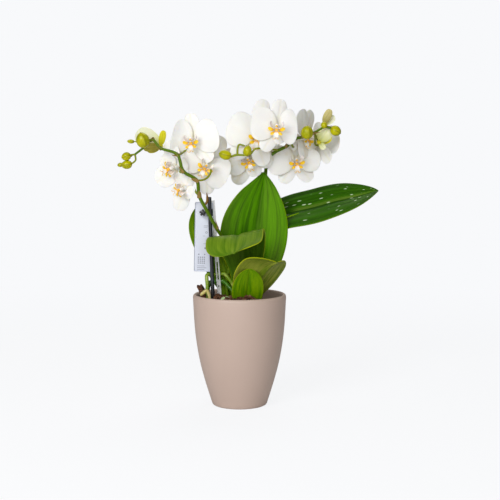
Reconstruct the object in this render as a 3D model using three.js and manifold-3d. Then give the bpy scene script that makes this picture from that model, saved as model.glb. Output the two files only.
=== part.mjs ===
// A potted moth orchid: a matte ceramic pot with a clear nursery pot and bark in it, leaves round a
// short crown, two arched flower spikes with open blooms and buds, two support stakes and a plant label.
// Millimetres, +Z up. The pot stands on z = 0 and its axis is the z axis. The front is toward -Y.
import * as THREE from "three";
import { mergeVertices } from "three/addons/utils/BufferGeometryUtils.js";
import Module from "manifold-3d";

const wasm = await Module();
wasm.setup();

const plant = new THREE.Group();
plant.name = "potted_orchid";
const GAP = 0.3; // clearance between neighbours
const ROOM = 0.5; // and between crossing petals, leaves and stems, whose facets are coarser
const DEG = Math.PI / 180;

// ---------------------------------------------------------------- helpers

const v3 = (p) => new THREE.Vector3(...p);

// A small repeatable random stream.
function stream(seed) {
  let state = seed;
  return () => {
    state = (state * 1664525 + 1013904223) % 4294967296;
    return state / 4294967296;
  };
}

// A geometry as a solid.
function toSolid(geometry) {
  const g = geometry.clone();
  g.deleteAttribute("normal");
  g.deleteAttribute("uv");
  const merged = mergeVertices(g, 1e-4);
  return new wasm.Manifold(
    new wasm.Mesh({
      numProp: 3,
      vertProperties: merged.attributes.position.array,
      triVerts: new Uint32Array(merged.index.array),
    }),
  );
}

// A solid straight from its vertices and triangles.
function fromTriangles(verts, tris) {
  return new wasm.Manifold(
    new wasm.Mesh({
      numProp: 3,
      vertProperties: new Float32Array(verts.flatMap((p) => p.toArray())),
      triVerts: new Uint32Array(tris.flat()),
    }),
  );
}

// Colour and roughness of each kind of piece.
const LOOKS = [
  [/^pot$/, 0xbeaa9b, 0.55],
  [/^grow_pot$/, 0xb9bab6, 0.25],
  [/^bark/, 0x5a3a2a, 0.95],
  [/^(crown|spike)/, 0x5f8f1a, 0.45],
  [/^stake/, 0x1d2026, 0.4],
  [/^clip/, 0x0e0f12, 0.3],
  [/^label_pick$/, 0xcfd1d2, 0.15],
  [/^label_card$/, 0xcdd2e1, 0.35],
  [/^root/, 0xa0b044, 0.6],
  [/^leaf/, 0x3f8a10, 0.35],
  [/_lip$/, 0xf2c65a, 0.5],
  [/^opening/, 0xe6eac0, 0.55],
  [/^bloom/, 0xf1f1ee, 0.6],
];

// Adds a solid to the plant as one named mesh.
function put(name, solid) {
  const m = solid.getMesh();
  const position = new Float32Array(m.numVert * 3);
  for (let i = 0; i < m.numVert; i++)
    position.set(
      m.vertProperties.subarray(i * m.numProp, i * m.numProp + 3),
      i * 3,
    );
  const geometry = new THREE.BufferGeometry()
    .setAttribute("position", new THREE.BufferAttribute(position, 3))
    .setIndex(new THREE.BufferAttribute(m.triVerts, 1));
  geometry.computeVertexNormals();
  const [, color, roughness] = LOOKS.find(([pattern]) => pattern.test(name));
  const mesh = new THREE.Mesh(
    geometry,
    new THREE.MeshStandardMaterial({ color, roughness, metalness: 0 }),
  );
  mesh.name = name;
  plant.add(mesh);
  return solid;
}

// A solid turned about the z axis from its [radius, height] outline.
function turned(outline, segments) {
  const points = outline.map(([r, z]) => new THREE.Vector2(r, z));
  const g = new THREE.LatheGeometry(points, segments);
  g.rotateX(Math.PI / 2); // the lathe turns about y
  const s = toSolid(g);
  return s.volume() < 0 ? toSolid(flipped(g)) : s;
}

function flipped(geometry) {
  const g = geometry.clone();
  const index = g.index.array;
  for (let i = 0; i < index.length; i += 3)
    [index[i + 1], index[i + 2]] = [index[i + 2], index[i + 1]];
  return g;
}

// How far the solids being made stand out from their true surface: 0, or ROOM while the room
// that a node needs is being made.
let grow = 0;

// A box of the given size, moved and turned.
function box(size, at, turn = [0, 0, 0]) {
  const g = new THREE.BoxGeometry(...size.map((c) => c + 2 * grow));
  g.applyMatrix4(
    new THREE.Matrix4().compose(
      v3(at),
      new THREE.Quaternion().setFromEuler(
        new THREE.Euler(turn[0] * DEG, turn[1] * DEG, turn[2] * DEG),
      ),
      v3([1, 1, 1]),
    ),
  );
  return toSolid(g);
}

// A rod between two points.
function rod(from, to, radius, sides = 12, radiusTo = radius) {
  return tube([v3(from), v3(to)], [radius, radiusTo], sides);
}

// A closed round tube along points, with its own radius at each of them.
function tube(points, radii, sides = 8) {
  const verts = [],
    tris = [],
    n = points.length;
  if (grow) {
    radii = radii.map((r) => r + 1.1 * grow);
    points = points.map((p) => p.clone());
    const end = (a, b) => points[a].add(points[a].clone().sub(points[b]).setLength(grow));
    end(0, 1);
    end(n - 1, n - 2);
  }
  let across = new THREE.Vector3();
  for (let i = 0; i < n; i++) {
    const along = points[Math.min(i + 1, n - 1)]
      .clone()
      .sub(points[Math.max(i - 1, 0)])
      .normalize();
    if (i === 0)
      across
        .set(Math.abs(along.x) < 0.8 ? 1 : 0, Math.abs(along.x) < 0.8 ? 0 : 1, 0)
        .cross(along);
    across.addScaledVector(along, -across.dot(along)).normalize();
    const third = along.clone().cross(across);
    for (let k = 0; k < sides; k++) {
      const a = (2 * Math.PI * k) / sides;
      verts.push(
        points[i]
          .clone()
          .addScaledVector(across, radii[i] * Math.cos(a))
          .addScaledVector(third, radii[i] * Math.sin(a)),
      );
    }
  }
  for (let i = 0; i < n - 1; i++)
    for (let k = 0; k < sides; k++) {
      const a = i * sides + k,
        b = i * sides + ((k + 1) % sides);
      tris.push([a, b, b + sides], [a, b + sides, a + sides]);
    }
  const last = (n - 1) * sides;
  for (let k = 1; k < sides - 1; k++) {
    tris.push([0, k + 1, k]);
    tris.push([last, last + k, last + k + 1]);
  }
  return fromTriangles(verts, tris);
}

// A tube through [x, y, z, radius] stations along a smooth curve.
function stem(stations, perSpan = 3, sides = 8) {
  const curve = new THREE.CatmullRomCurve3(
    stations.map((s) => v3(s.slice(0, 3))),
    false,
    "centripetal",
  );
  const spans = stations.length - 1,
    points = [],
    radii = [];
  for (let i = 0; i <= spans * perSpan; i++) {
    const u = i / (spans * perSpan),
      at = u * spans,
      k = Math.min(Math.floor(at), spans - 1),
      f = at - k;
    points.push(curve.getPoint(u));
    radii.push(stations[k][3] * (1 - f) + stations[k + 1][3] * f);
  }
  return tube(points, radii, sides);
}

// An egg of the given length and radius from a point along a direction, with a narrower far end.
function egg(from, aim, length, radius, rings = 6, sides = 8) {
  const along = v3(aim).normalize(),
    points = [],
    radii = [];
  for (let i = 0; i <= rings; i++) {
    const th = 0.28 + ((Math.PI - 0.5) * i) / rings,
      t = (1 - Math.cos(th)) / 2;
    points.push(v3(from).addScaledVector(along, length * t));
    radii.push(radius * Math.sin(th) * (1.06 - 0.14 * t));
  }
  return tube(points, radii, sides);
}

// A thin closed blade from a grid of points of its middle surface.
// Both faces are split into triangles alike.
function blade(grid, thickness) {
  if (grow) {
    thickness += 2 * grow;
    grid = grid.map((row) => row.map((p) => p.clone()));
    const out = (a, b) => a.add(a.clone().sub(b).setLength(grow));
    for (const row of grid) {
      const n = row.length - 1,
        ends = [row[0].clone(), row[n].clone()];
      out(row[0], row[1]);
      out(row[n], n > 1 ? row[n - 1] : ends[0]);
    }
    const n = grid.length - 1;
    grid[0].forEach((p, j) => out(p, grid[1][j]));
    grid[n].forEach((p, j) => out(p, grid[n - 1][j]));
  }
  const rows = grid.length,
    cols = grid[0].length,
    verts = [],
    tris = [];
  const normals = grid.map((row, i) =>
    row.map((_, j) => {
      const du = grid[Math.min(i + 1, rows - 1)][j]
        .clone()
        .sub(grid[Math.max(i - 1, 0)][j]);
      const dv = grid[i][Math.min(j + 1, cols - 1)]
        .clone()
        .sub(grid[i][Math.max(j - 1, 0)]);
      return du.cross(dv).normalize();
    }),
  );
  for (const side of [0.5, -0.5])
    for (let i = 0; i < rows; i++)
      for (let j = 0; j < cols; j++)
        verts.push(
          grid[i][j].clone().addScaledVector(normals[i][j], side * thickness),
        );
  const id = (i, j) => i * cols + j,
    half = rows * cols;
  for (let i = 0; i < rows - 1; i++)
    for (let j = 0; j < cols - 1; j++) {
      const [a, b, c, d] = [
        id(i, j),
        id(i + 1, j),
        id(i + 1, j + 1),
        id(i, j + 1),
      ];
      const split =
        2 * j < cols - 1
          ? [
              [a, b, c],
              [a, c, d],
            ]
          : [
              [a, b, d],
              [b, c, d],
            ];
      for (const [p, q, r] of split)
        tris.push([p, q, r], [p + half, r + half, q + half]);
    }
  const rim = [];
  for (let i = 0; i < rows - 1; i++) rim.push(id(i, 0));
  for (let j = 0; j < cols - 1; j++) rim.push(id(rows - 1, j));
  for (let i = rows - 1; i > 0; i--) rim.push(id(i, cols - 1));
  for (let j = cols - 1; j > 0; j--) rim.push(id(0, j));
  rim.forEach((p, k) => {
    const q = rim[(k + 1) % rim.length];
    tris.push([q, p, p + half], [q, p + half, q + half]);
  });
  return fromTriangles(verts, tris);
}

const union = (solids) => wasm.Manifold.union(solids);

// Adds a node that leaves room for the nodes put before it, and keeps its own room from later ones.
const rooms = [];
function putClear(name, make, detail = 0.05) {
  let solid = make();
  for (const room of rooms)
    if (solid.intersect(room).volume() > 0) solid = solid.subtract(room);
  const largest = (s) => s.decompose().sort((a, b) => b.volume() - a.volume())[0];
  grow = ROOM;
  rooms.push(make());
  grow = 0;
  return put(name, detail ? largest(largest(solid).simplify(detail)) : largest(solid));
}

// ---------------------------------------------------------------- pot

const POT_SEGMENTS = 40;
const POT_HEIGHT = 126;
// Outside, over the round rim, and down the inside to the floor of the pot.
const POT_OUTLINE = [
  [0, 0],
  [29.6, 0],
  [31.3, 1.8],
  [35.0, 13.4],
  [39.6, 28.7],
  [44.8, 49.0],
  [48.5, 69.6],
  [50.8, 90.0],
  [52.6, 122.4],
  [52.0, 125.0],
  [50.3, POT_HEIGHT],
  [48.8, 125.3],
  [48.1, 122.8],
  [46.2, 90.0],
  [43.9, 69.6],
  [40.2, 49.0],
  [34.9, 28.7],
  [30.0, 13.4],
  [27.0, 6.0],
  [0, 6.0],
];

put("pot", turned(POT_OUTLINE, POT_SEGMENTS));

// ---------------------------------------------------------------- nursery pot

const GROW_SEGMENTS = 32;
const GROW = { floor: 6.3, top: 114, footRadius: 24.5, topRadius: 44.8, wall: 1 };
const growRadius = (z) =>
  GROW.footRadius +
  ((GROW.topRadius - GROW.footRadius) * (z - GROW.floor)) /
    (GROW.top - GROW.floor);

put(
  "grow_pot",
  turned(
    [
      [0, GROW.floor],
      [GROW.footRadius, GROW.floor],
      [growRadius(110.5), 110.5],
      [46.4, 111.4],
      [46.4, GROW.top],
      [growRadius(GROW.top) - GROW.wall, GROW.top],
      [growRadius(60) - GROW.wall, 60],
      [growRadius(GROW.floor) - GROW.wall, GROW.floor + GROW.wall],
      [0, GROW.floor + GROW.wall],
    ],
    GROW_SEGMENTS,
  ),
);

// ---------------------------------------------------------------- crown and roots

putClear("crown", () =>
  stem(
    [
      [0, 0, 100, 7.5],
      [0, 0, 112, 8],
      [0.5, 1, 124, 7.5],
      [1, 2, 134, 5],
      [1.5, 3, 139, 2.4],
    ],
    2,
    10,
  ),
);
const ROOTS = {
  // leaves the crown upwards, runs left and bends down over the bark
  root_loop: [
    [-5.4, -6, 131, 1.9],
    [-7.5, -8, 137.4, 2.0],
    [-12.6, -8, 144.9, 2.0],
    [-16.9, -7, 149.3, 1.9],
    [-20.9, -5.6, 149.3, 1.5],
    [-26.4, -6, 148.6, 1.5],
    [-31.9, -9, 149.4, 1.7],
    [-36.2, -12, 148.6, 2.0],
    [-36.4, -14, 144.2, 2.1],
    [-35.8, -15.2, 138, 2.0],
    [-36.6, -16, 126, 2.0],
    [-36, -16, 111.5, 2.0],
  ],
  root_low: [
    [-5.6, -9, 122, 2.0],
    [-8.2, -13, 131.4, 2.1],
    [-11.3, -11.6, 134.9, 2.2],
    [-15.3, -8.2, 139, 2.4],
    [-18.8, -5.6, 140.9, 2.8],
    [-23.1, -4.6, 140.6, 3.0],
    [-28.6, -5.4, 140.6, 2.9],
    [-33.2, -7.4, 139, 2.6],
    [-35.6, -7.8, 132, 2.3],
    [-35, -8, 122, 2.2],
    [-34, -8, 111.5, 2.2],
  ],
  root_pale: [
    [-32.5, -26, 117, 1.6],
    [-33.6, -27, 129, 1.8],
    [-36.2, -27.4, 133.4, 1.8],
    [-39.4, -27, 131, 2.0],
    [-42, -25.4, 128.8, 1.7],
  ],
  root_tip: [
    [-6, -29.6, 112.5, 1.8],
    [-8.6, -31.2, 121.4, 2.0],
    [-13, -32.4, 124.8, 2.7],
    [-17, -32.6, 125.0, 2.5],
    [-20.4, -32.2, 121, 1.9],
    [-21.2, -31.2, 112.5, 1.8],
  ],
};
for (const [name, stations] of Object.entries(ROOTS))
  putClear(name, () => stem(stations, 2, 7));

// ---------------------------------------------------------------- stakes, clips and label

const FRONT_STAKE = { foot: [-28.6, -18, 96], top: [-33, -18, 236.2], radius: 2.1 };
const REAR_STAKE = { foot: [-10, 35.5, 96], top: [25.2, 40, 262], radius: 2.6 };
const stakeAt = (stake, z) => {
  const f = (z - stake.foot[2]) / (stake.top[2] - stake.foot[2]);
  return stake.foot.map((c, i) => c + (stake.top[i] - c) * f);
};
for (const [name, stake, sides] of [["stake_front", FRONT_STAKE, 14], ["stake_rear", REAR_STAKE, 12]])
  putClear(name, () => rod(stake.foot, stake.top, stake.radius, sides), 0);

// A clip: a sleeve round its stake and a lobed knob beside it.
function clip(stake, z, knobAt, knobRadius, knobLength) {
  const c = stakeAt(stake, z);
  const aim = v3(stake.top).sub(v3(stake.foot)).normalize();
  const end = (d) => v3(c).addScaledVector(aim, d).toArray();
  const sleeve = rod(end(-3.8), end(3.8), stake.radius + 1.2, 12).subtract(
    rod(end(-6), end(6), stake.radius + GAP, 12),
  );
  const lobes = [];
  for (let k = 0; k < 5; k++) {
    const a = (k / 5) * 2 * Math.PI + 0.3;
    const p = [
      knobAt[0] + 0.72 * knobRadius * Math.cos(a),
      knobAt[1],
      knobAt[2] + 0.72 * knobRadius * Math.sin(a),
    ];
    lobes.push(
      rod(
        [p[0], p[1] - knobLength / 2, p[2]],
        [p[0], p[1] + knobLength / 2, p[2]],
        0.4 * knobRadius,
        4,
      ),
    );
  }
  const hub = rod(
    [knobAt[0], knobAt[1] - knobLength / 2 - 0.4, knobAt[2]],
    [knobAt[0], knobAt[1] + knobLength / 2 + 0.4, knobAt[2]],
    0.62 * knobRadius,
    8,
  );
  // the bar runs from the knob to the sleeve's wall
  const reach = v3(c).sub(v3(knobAt));
  const barEnd = v3(knobAt).addScaledVector(
    reach,
    1 - (stake.radius + 0.9) / reach.length(),
  );
  const bar = rod(knobAt, barEnd.toArray(), 1.3, 6);
  return union([sleeve, hub, bar, ...lobes]);
}
const CLIPS = {
  clip_front: [FRONT_STAKE, 219, [-40.4, -17.2, 218.8], 3.6, 7],
  clip_rear: [REAR_STAKE, 257.5, [20.4, 35.2, 262.4], 3.0, 6],
};
for (const [name, spec] of Object.entries(CLIPS)) put(name, clip(...spec));

// The label: a clear forked pick and a printed card held in front of it.
const PICK = { thick: 0.8, width: 4.6, y: -9.2, foot: [-20.6, 100], top: [-29.8, 232] };
const pickTilt =
  Math.atan2(PICK.top[0] - PICK.foot[0], PICK.top[1] - PICK.foot[1]) / DEG;
const pickLength = Math.hypot(
  PICK.top[0] - PICK.foot[0],
  PICK.top[1] - PICK.foot[1],
);
const pickMid = [
  (PICK.foot[0] + PICK.top[0]) / 2,
  PICK.y,
  (PICK.foot[1] + PICK.top[1]) / 2,
];
const slotShift = -13; // along the pick, from its middle
const pickSlot = box(
  [1.5, 3, 20],
  [
    pickMid[0] + slotShift * Math.sin(pickTilt * DEG),
    PICK.y,
    pickMid[2] + slotShift * Math.cos(pickTilt * DEG),
  ],
  [0, pickTilt, 0],
);
putClear(
  "label_pick",
  () => box([PICK.width, PICK.thick, pickLength], pickMid, [0, pickTilt, 0]).subtract(pickSlot),
  0,
);
const CARD = { size: [20.4, 0.5, 77.5], at: [-39.9, -10.2, 191.3], tilt: 1.3 };
putClear("label_card", () => box(CARD.size, CARD.at, [0, CARD.tilt, 0]), 0);

// ---------------------------------------------------------------- leaves

// How wide a leaf is along its length, 0 to 1.
function leafBreadth(t, { widest, foot, point, round, swell = 0.85 }) {
  if (t < widest)
    return foot + (1 - foot) * Math.sin((Math.PI / 2) * (t / widest)) ** swell;
  return Math.max(0.03, 1 - ((t - widest) / (1 - widest)) ** point) ** round;
}

// rib: points of the midrib; side: the way the right half lies, seen from the crown with the upper face up.
const LEAVES = {
  leaf_big: {
    rib: [[1, 11, 112.5], [2, 11.6, 121], [6, 13.5, 138], [14, 17, 163], [18.6, 19, 198], [23.6, 20, 231], [26, 20.5, 246], [27.8, 21, 263]],
    half: 38.5, side: [1, 0.05, -0.04], left: 17, right: 17, leftShare: 1.1, bend: 0.16,
    shape: { widest: 0.53, foot: 0.1, point: 2.1, round: 1, swell: 0.95 }, thick: 1.4, rows: 11,
  },
  leaf_right: {
    rib: [[9, 15, 112.5], [10, 17, 121], [14, 27, 150], [21, 39, 180], [34, 43, 203], [56, 40, 214], [84, 32, 221], [107, 24.5, 228], [130, 17.5, 234], [157, 13, 242]],
    half: 28, foot: [1, 0.1, -0.2], side: [0.1, -0.72, -0.66], left: 14, right: 14, bend: 0.14,
    shape: { widest: 0.66, foot: 0.12, point: 2.5, round: 0.85, swell: 1.2 }, thick: 1.4, rows: 13,
  },
  leaf_front_left: {
    rib: [[-1.0, -9.8, 114], [0.4, -11, 127], [6, -13.5, 158], [2.5, -20, 189], [-2, -37, 195.5], [-5.3, -62, 178]],
    half: 34, foot: [-0.98, -0.05, 0.08], side: [-0.95, -0.1, -0.75], turn: 1, ease: 3, left: 2, right: 26, rightEnd: 6, leftShare: 0.9, bend: 0.06,
    shape: { widest: 0.86, foot: 0.14, point: 3.2, round: 0.42, swell: 1.2 }, thick: 1.3, rows: 11,
  },
  leaf_mid_right: {
    rib: [[7.8, -8.6, 114], [9.4, -11, 122], [15, -19, 133], [26, -32, 151], [34, -40, 161], [41, -46, 166.5]],
    half: 32, foot: [-0.87, 0, 0.5], side: [-0.99, 0, 0.02], turn: 1, left: 39, right: -5, leftShare: 0.85, bend: 0.1,
    shape: { widest: 0.78, foot: 0.3, point: 3, round: 0.42, swell: 0.8 }, thick: 1.3, rows: 10,
  },
  leaf_front_small: {
    rib: [[5.4, -23.6, 112.5], [6.4, -26, 119.5], [8.2, -30, 126], [10, -35.5, 142], [11.6, -39, 158.8]],
    half: 17.9, side: [1, 0.15, -0.1], left: 12, right: 12, bend: 0.2,
    shape: { widest: 0.45, foot: 0.5, point: 2.4, round: 0.55 }, thick: 1.3, rows: 8,
  },
  leaf_left: {
    rib: [[-10, 3.4, 113], [-11.6, 4, 124], [-22, 8, 145], [-37, 12, 178], [-45.5, 14, 203], [-44.5, 13, 226]],
    half: 14.5, side: [0.94, 0.1, 0.3], left: 14, right: 14, bend: 0.15,
    shape: { widest: 0.66, foot: 0.3, point: 2.2, round: 0.6 }, thick: 1.3, rows: 9,
  },
  leaf_young: {
    rib: [[2.2, 16.6, 112.5], [4.2, 18.4, 130], [11.5, 22, 158], [25, 25, 186], [46, 24, 207], [67.5, 20.5, 216.3]],
    half: 3.6, side: [0.3, -0.8, -0.5], left: 25, right: 25, bend: 0.1,
    shape: { widest: 0.45, foot: 0.6, point: 1.6, round: 1 }, thick: 1.1, rows: 7,
  },
};
const LEAF_COLS = 4;

// The middle surface of a leaf. `left` and `right` are how far its two halves rise from the rib
// in degrees, and `bend` is how much they curl back.
function leafGrid(leaf) {
  const curve = new THREE.CatmullRomCurve3(leaf.rib.map(v3), false, "centripetal");
  const grid = [];
  for (let i = 0; i <= leaf.rows; i++) {
    const t = (1 - Math.cos((Math.PI * i) / leaf.rows)) / 2,
      at = curve.getPointAt(t),
      along = curve.getTangentAt(t),
      side = v3(leaf.foot || leaf.side).lerp(v3(leaf.side), Math.min(1, t / (leaf.turn || 0.45)) ** (leaf.ease || 1)),
      across = side.addScaledVector(along, -side.dot(along)).normalize(),
      up = across.clone().cross(along),
      half = leaf.half * leafBreadth(t, leaf.shape),
      row = [];
    for (let j = 0; j <= LEAF_COLS; j++) {
      const s = (2 * j) / LEAF_COLS - 1,
        right = leaf.right + ((leaf.rightEnd ?? leaf.right) - leaf.right) * t,
        rise = (s < 0 ? leaf.left : right) * DEG,
        a = Math.abs(s) * half * (s < 0 ? leaf.leftShare || 1 : 1);
      row.push(
        at
          .clone()
          .addScaledVector(across, Math.sign(s) * a * Math.cos(rise))
          .addScaledVector(up, a * Math.sin(rise) - (leaf.bend * a * a) / leaf.half),
      );
    }
    grid.push(row);
  }
  return grid;
}

// ---------------------------------------------------------------- blooms

// Tepals in a bloom's own frame: x to its right, y up, z out of its face.
const PETAL = { length: 28.5, half: 18, rise: 14, curl: -8, power: 0.8, skew: 0.14, bulge: 0.12, lift: 0.5, rows: 4, cols: 3 };
const SEPAL = { length: 29, half: 9.2, rise: 4, curl: -10, power: 0.75, skew: 0.05, bulge: 0.12, lift: -2.4, rows: 4, cols: 2 };
const TEPAL_THICK = 0.7;
const BLOOM_HEART = 3; // radius of the swelling the tepals grow from

function tepalGrid(t0, rows = t0.rows, cols = t0.cols) {
  const { angle, length, half, rise, curl, power, skew, bulge, lift, twist = 0 } = t0;
  const d = v3([Math.cos(angle * DEG), Math.sin(angle * DEG), 0]),
    e = v3([-Math.sin(angle * DEG), Math.cos(angle * DEG), 0]),
    z = v3([0, 0, 1]),
    from = rise * DEG,
    turn = (curl - rise) * DEG,
    grid = [];
  for (let i = 0; i <= rows; i++) {
    const th = 0.14 + ((Math.PI - 0.3) * i) / rows,
      t = (1 - Math.cos(th)) / 2,
      phi = from + turn * t,
      out = length * (Math.abs(turn) < 1e-3 ? t * Math.cos(from) : (Math.sin(phi) - Math.sin(from)) / turn),
      lifted = length * (Math.abs(turn) < 1e-3 ? t * Math.sin(from) : (Math.cos(from) - Math.cos(phi)) / turn),
      w = half * Math.sin(th) ** power * (1 - skew * Math.cos(th)),
      normal = d.clone().multiplyScalar(-Math.sin(phi)).addScaledVector(z, Math.cos(phi)),
      side = e.clone().multiplyScalar(Math.cos(twist * DEG)).addScaledVector(normal, Math.sin(twist * DEG)),
      row = [];
    for (let j = 0; j <= cols; j++) {
      const a = w * ((2 * j) / cols - 1);
      row.push(
        d
          .clone()
          .multiplyScalar(1.4 + out)
          .addScaledVector(z, lift + lifted)
          .addScaledVector(side, a)
          .addScaledVector(normal, (-bulge * a * a) / half),
      );
    }
    grid.push(row);
  }
  return grid;
}

// Where a bloom stands: `yaw` turns its face to the right, `pitch` raises it, `roll` turns it clockwise.
function bloomFrame({ at, yaw = 0, pitch = 0, roll = 0 }) {
  return new THREE.Matrix4()
    .makeTranslation(...at)
    .multiply(new THREE.Matrix4().makeRotationZ(yaw * DEG))
    .multiply(new THREE.Matrix4().makeRotationX(-pitch * DEG))
    .multiply(new THREE.Matrix4().makeRotationY(roll * DEG))
    .multiply(new THREE.Matrix4().makeRotationX(Math.PI / 2));
}
const placed = (frame, grid) => grid.map((row) => row.map((p) => p.clone().applyMatrix4(frame)));

// The lip in the bloom's frame: a column, two side lobes that curve in and a pointed middle lobe.
function lipSolid(frame, size) {
  const p = (x, y, z) => v3([x * size, y * size, z * size]).applyMatrix4(frame);
  const q = (list) => list.map(([x, y, z, r]) => [...p(x, y, z).toArray(), r * size]);
  const column = stem(q([[0, 0.5, 3.1 / size, 1.7], [0, 1.6, 6.4, 2.1], [0, 0.8, 9.4, 1.7]]), 1, 5);
  const claw = stem(q([[0, -1.6, 4.6, 1.7], [0, -4.4, 8.6, 2.0]]), 1, 5);
  const lobe = (side) =>
    blade(
      [0, 1, 2].map((i) => {
        const row = [-1, 1].map((j) => {
          const w = [1.6, 4.0, 2.0][i];
          return p(
            side * [0.8, 5.4, 8.0][i],
            [-3.4, -2.0, 2.2][i] + j * w * 0.55,
            [6.4, 8.0, 8.6][i] + j * w * 0.7,
          );
        });
        return side > 0 ? row : row.reverse();
      }),
      0.8,
    );
  const tongue = blade(
    [0, 1, 2].map((i) => {
      const t = i / 2,
        w = [1.8, 4.2, 0.7][i];
      return [-1, 1].map((s) => p(s * w, -4.4 - 7.2 * t, 7.9 + 4.0 * t - 3.4 * t * t));
    }),
    0.8,
  );
  return union([column, claw, lobe(1), lobe(-1), tongue]);
}

// An open bloom's five tepals: two petals, then the top sepal and the two lower ones.
const five = (petals = [{}, {}], sepals = [{}, {}, {}]) => [
  { ...PETAL, angle: 9, ...petals[0] },
  { ...PETAL, angle: 171, ...petals[1] },
  { ...SEPAL, angle: 90, ...sepals[0] },
  { ...SEPAL, angle: -57, lift: -2.2, ...sepals[1] },
  { ...SEPAL, angle: -123, lift: -3.3, ...sepals[2] },
];

const BLOOMS = {
  bloom_l1: {
    at: [-50.8, -13, 298.6], yaw: -16, pitch: 2, roll: -4, size: 1,
    tepals: five([{ angle: 12, rise: 4, half: 19 }, { angle: 160, length: 23.5, rise: 14, curl: 50, half: 18.5, bulge: 0.2 }], [{ angle: 96 }, { angle: -52 }, { length: 26 }]),
  },
  bloom_l2: {
    at: [-37.4, -8, 269.4], yaw: 6, pitch: 6, roll: 30, size: 1.02,
    tepals: five([{ angle: 4, length: 26, rise: 8 }, { angle: 176, rise: 10 }], [{ length: 37, half: 11 }, {}, {}]),
  },
  bloom_l3: {
    at: [-70.2, -14, 268.6], yaw: -18, pitch: -8, roll: 0, size: 1,
    lip: { roll: 66, yaw: -24 },
    tepals: [
      { ...SEPAL, angle: 217, length: 27, half: 12.5, rise: 12, curl: 2, lift: -1 },
      { ...SEPAL, angle: 142, length: 19, half: 9, rise: 10, curl: -6, lift: -0.1 },
      { ...PETAL, angle: 107, length: 29, half: 9, rise: 4, curl: -4, lift: -3.4, cols: 2 },
      { ...SEPAL, angle: 302, length: 14, half: 9, rise: -6, curl: -10, lift: -2 },
      { ...SEPAL, angle: 35, length: 12, half: 9, rise: -6, curl: -10, lift: -2 },
    ],
  },
  bloom_l4: {
    at: [-59.4, -19, 246.4], yaw: -18, pitch: -14, roll: 0, size: 0.9,
    lip: { roll: 66, yaw: -26 },
    tepals: [
      { ...SEPAL, angle: 245, length: 31, half: 10.5, rise: 10, curl: -4 },
      { ...SEPAL, angle: 184, length: 17, half: 5, rise: 12, curl: 6, twist: 50 },
      { ...PETAL, angle: 122, length: 19, half: 8, rise: 0, curl: -8, lift: -2, cols: 2 },
      { ...PETAL, angle: 320, length: 13, half: 10, rise: 40, curl: 4, cols: 2 },
      { ...SEPAL, angle: 66, length: 13, half: 8, rise: 0, curl: -20, lift: -1 },
    ],
  },
  bloom_r1: {
    at: [18.2, -8, 303], yaw: 12, pitch: 2, roll: 15, size: 1.14,
    tepals: five([{ angle: 22, length: 24, half: 15 }, { angle: 172, rise: 2, half: 17.5 }], [{ length: 36 }, {}, {}]),
  },
  bloom_r2: {
    at: [41.6, -36, 312.6], yaw: 17, pitch: 2, roll: 4, size: 1.02,
    lip: { roll: 0, yaw: -24 },
    tepals: five([{ angle: 6, length: 20, rise: 22, curl: 0, half: 19 }, { angle: 172, rise: 4 }], [{ angle: 84 }, { angle: -75, length: 17, half: 6.5, rise: 10 }, { angle: -118, length: 28, rise: 8 }]),
  },
  bloom_r3: {
    at: [10.7, 8, 279.4], yaw: -8, pitch: -14, roll: -18, size: 1.02,
    tepals: five([{ angle: 2, length: 24.5 }, { angle: 177, half: 16 }], [{ angle: 86 }, { angle: -88, length: 22, rise: 20 }, { angle: -136, length: 35, half: 10 }]),
  },
  bloom_r4: {
    at: [63.2, 12, 276.6], yaw: 6, pitch: -4, roll: -4, size: 1,
    tepals: five([{ angle: -6, length: 27, half: 13 }, { angle: 177, length: 32, rise: 10, half: 17 }]),
  },
  bloom_r5: {
    at: [70.8, 2, 302.0], yaw: 50, pitch: 0, roll: 25, size: 0.94,
    tepals: five([{ length: 26, half: 12 }, { angle: 125, length: 32, half: 12, rise: 10, curl: 0 }], [{ angle: 76, length: 38, half: 11 }, { angle: -50, length: 24, half: 11, rise: 16 }, { length: 20 }]),
  },
  bloom_r6: {
    at: [93.6, 22, 292.0], yaw: 128, pitch: -8, roll: 18, size: 0.92,
    tepals: five(),
  },
};

// Half-open flowers, each with its own few tepals and no open lip.
const OPENINGS = {
  opening_l: {
    at: [-87.2, -8, 292.0], size: 1,
    tepals: [
      { ...PETAL, angle: 150, length: 29.5, half: 11, rise: 4, curl: 10, bulge: -0.12, lift: -2, cols: 2 },
      { ...SEPAL, angle: 78, length: 16.5, half: 3.9, rise: 12, curl: 4, lift: 0 },
      { ...SEPAL, angle: 187, length: 18, half: 4.6, rise: 10, curl: 2, bulge: -0.25, lift: 0.5 },
      { ...SEPAL, angle: 196, length: 15, half: 5, rise: -12, curl: 20, bulge: -0.3, lift: -3 },
    ],
  },
  opening_r1: {
    at: [88.0, -10, 296.5], size: 1,
    tepals: [
      { ...PETAL, angle: 55, length: 17, half: 8.8, rise: 14, curl: -10, bulge: 0.3, lift: 1, cols: 2 },
      { ...SEPAL, angle: 40, length: 15, half: 8, rise: -10, curl: 34, bulge: -0.3, lift: -3 },
      { ...SEPAL, angle: -50, length: 9, half: 3.4, rise: 10, curl: 0, lift: 0 },
    ],
  },
  opening_r2: {
    at: [93.8, 2, 316.2], size: 1,
    tepals: [
      { ...SEPAL, angle: 66, length: 17, half: 4.6, rise: 20, curl: 0, bulge: 0.3, lift: 0 },
      { ...SEPAL, angle: 35, length: 14, half: 4.6, rise: -14, curl: 10, bulge: -0.2, lift: -2 },
    ],
  },
};
const FLOWERS = { ...BLOOMS, ...OPENINGS };
const frames = Object.fromEntries(
  Object.entries(FLOWERS).map(([name, flower]) => [name, bloomFrame(flower)]),
);

// ---------------------------------------------------------------- spikes

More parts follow.
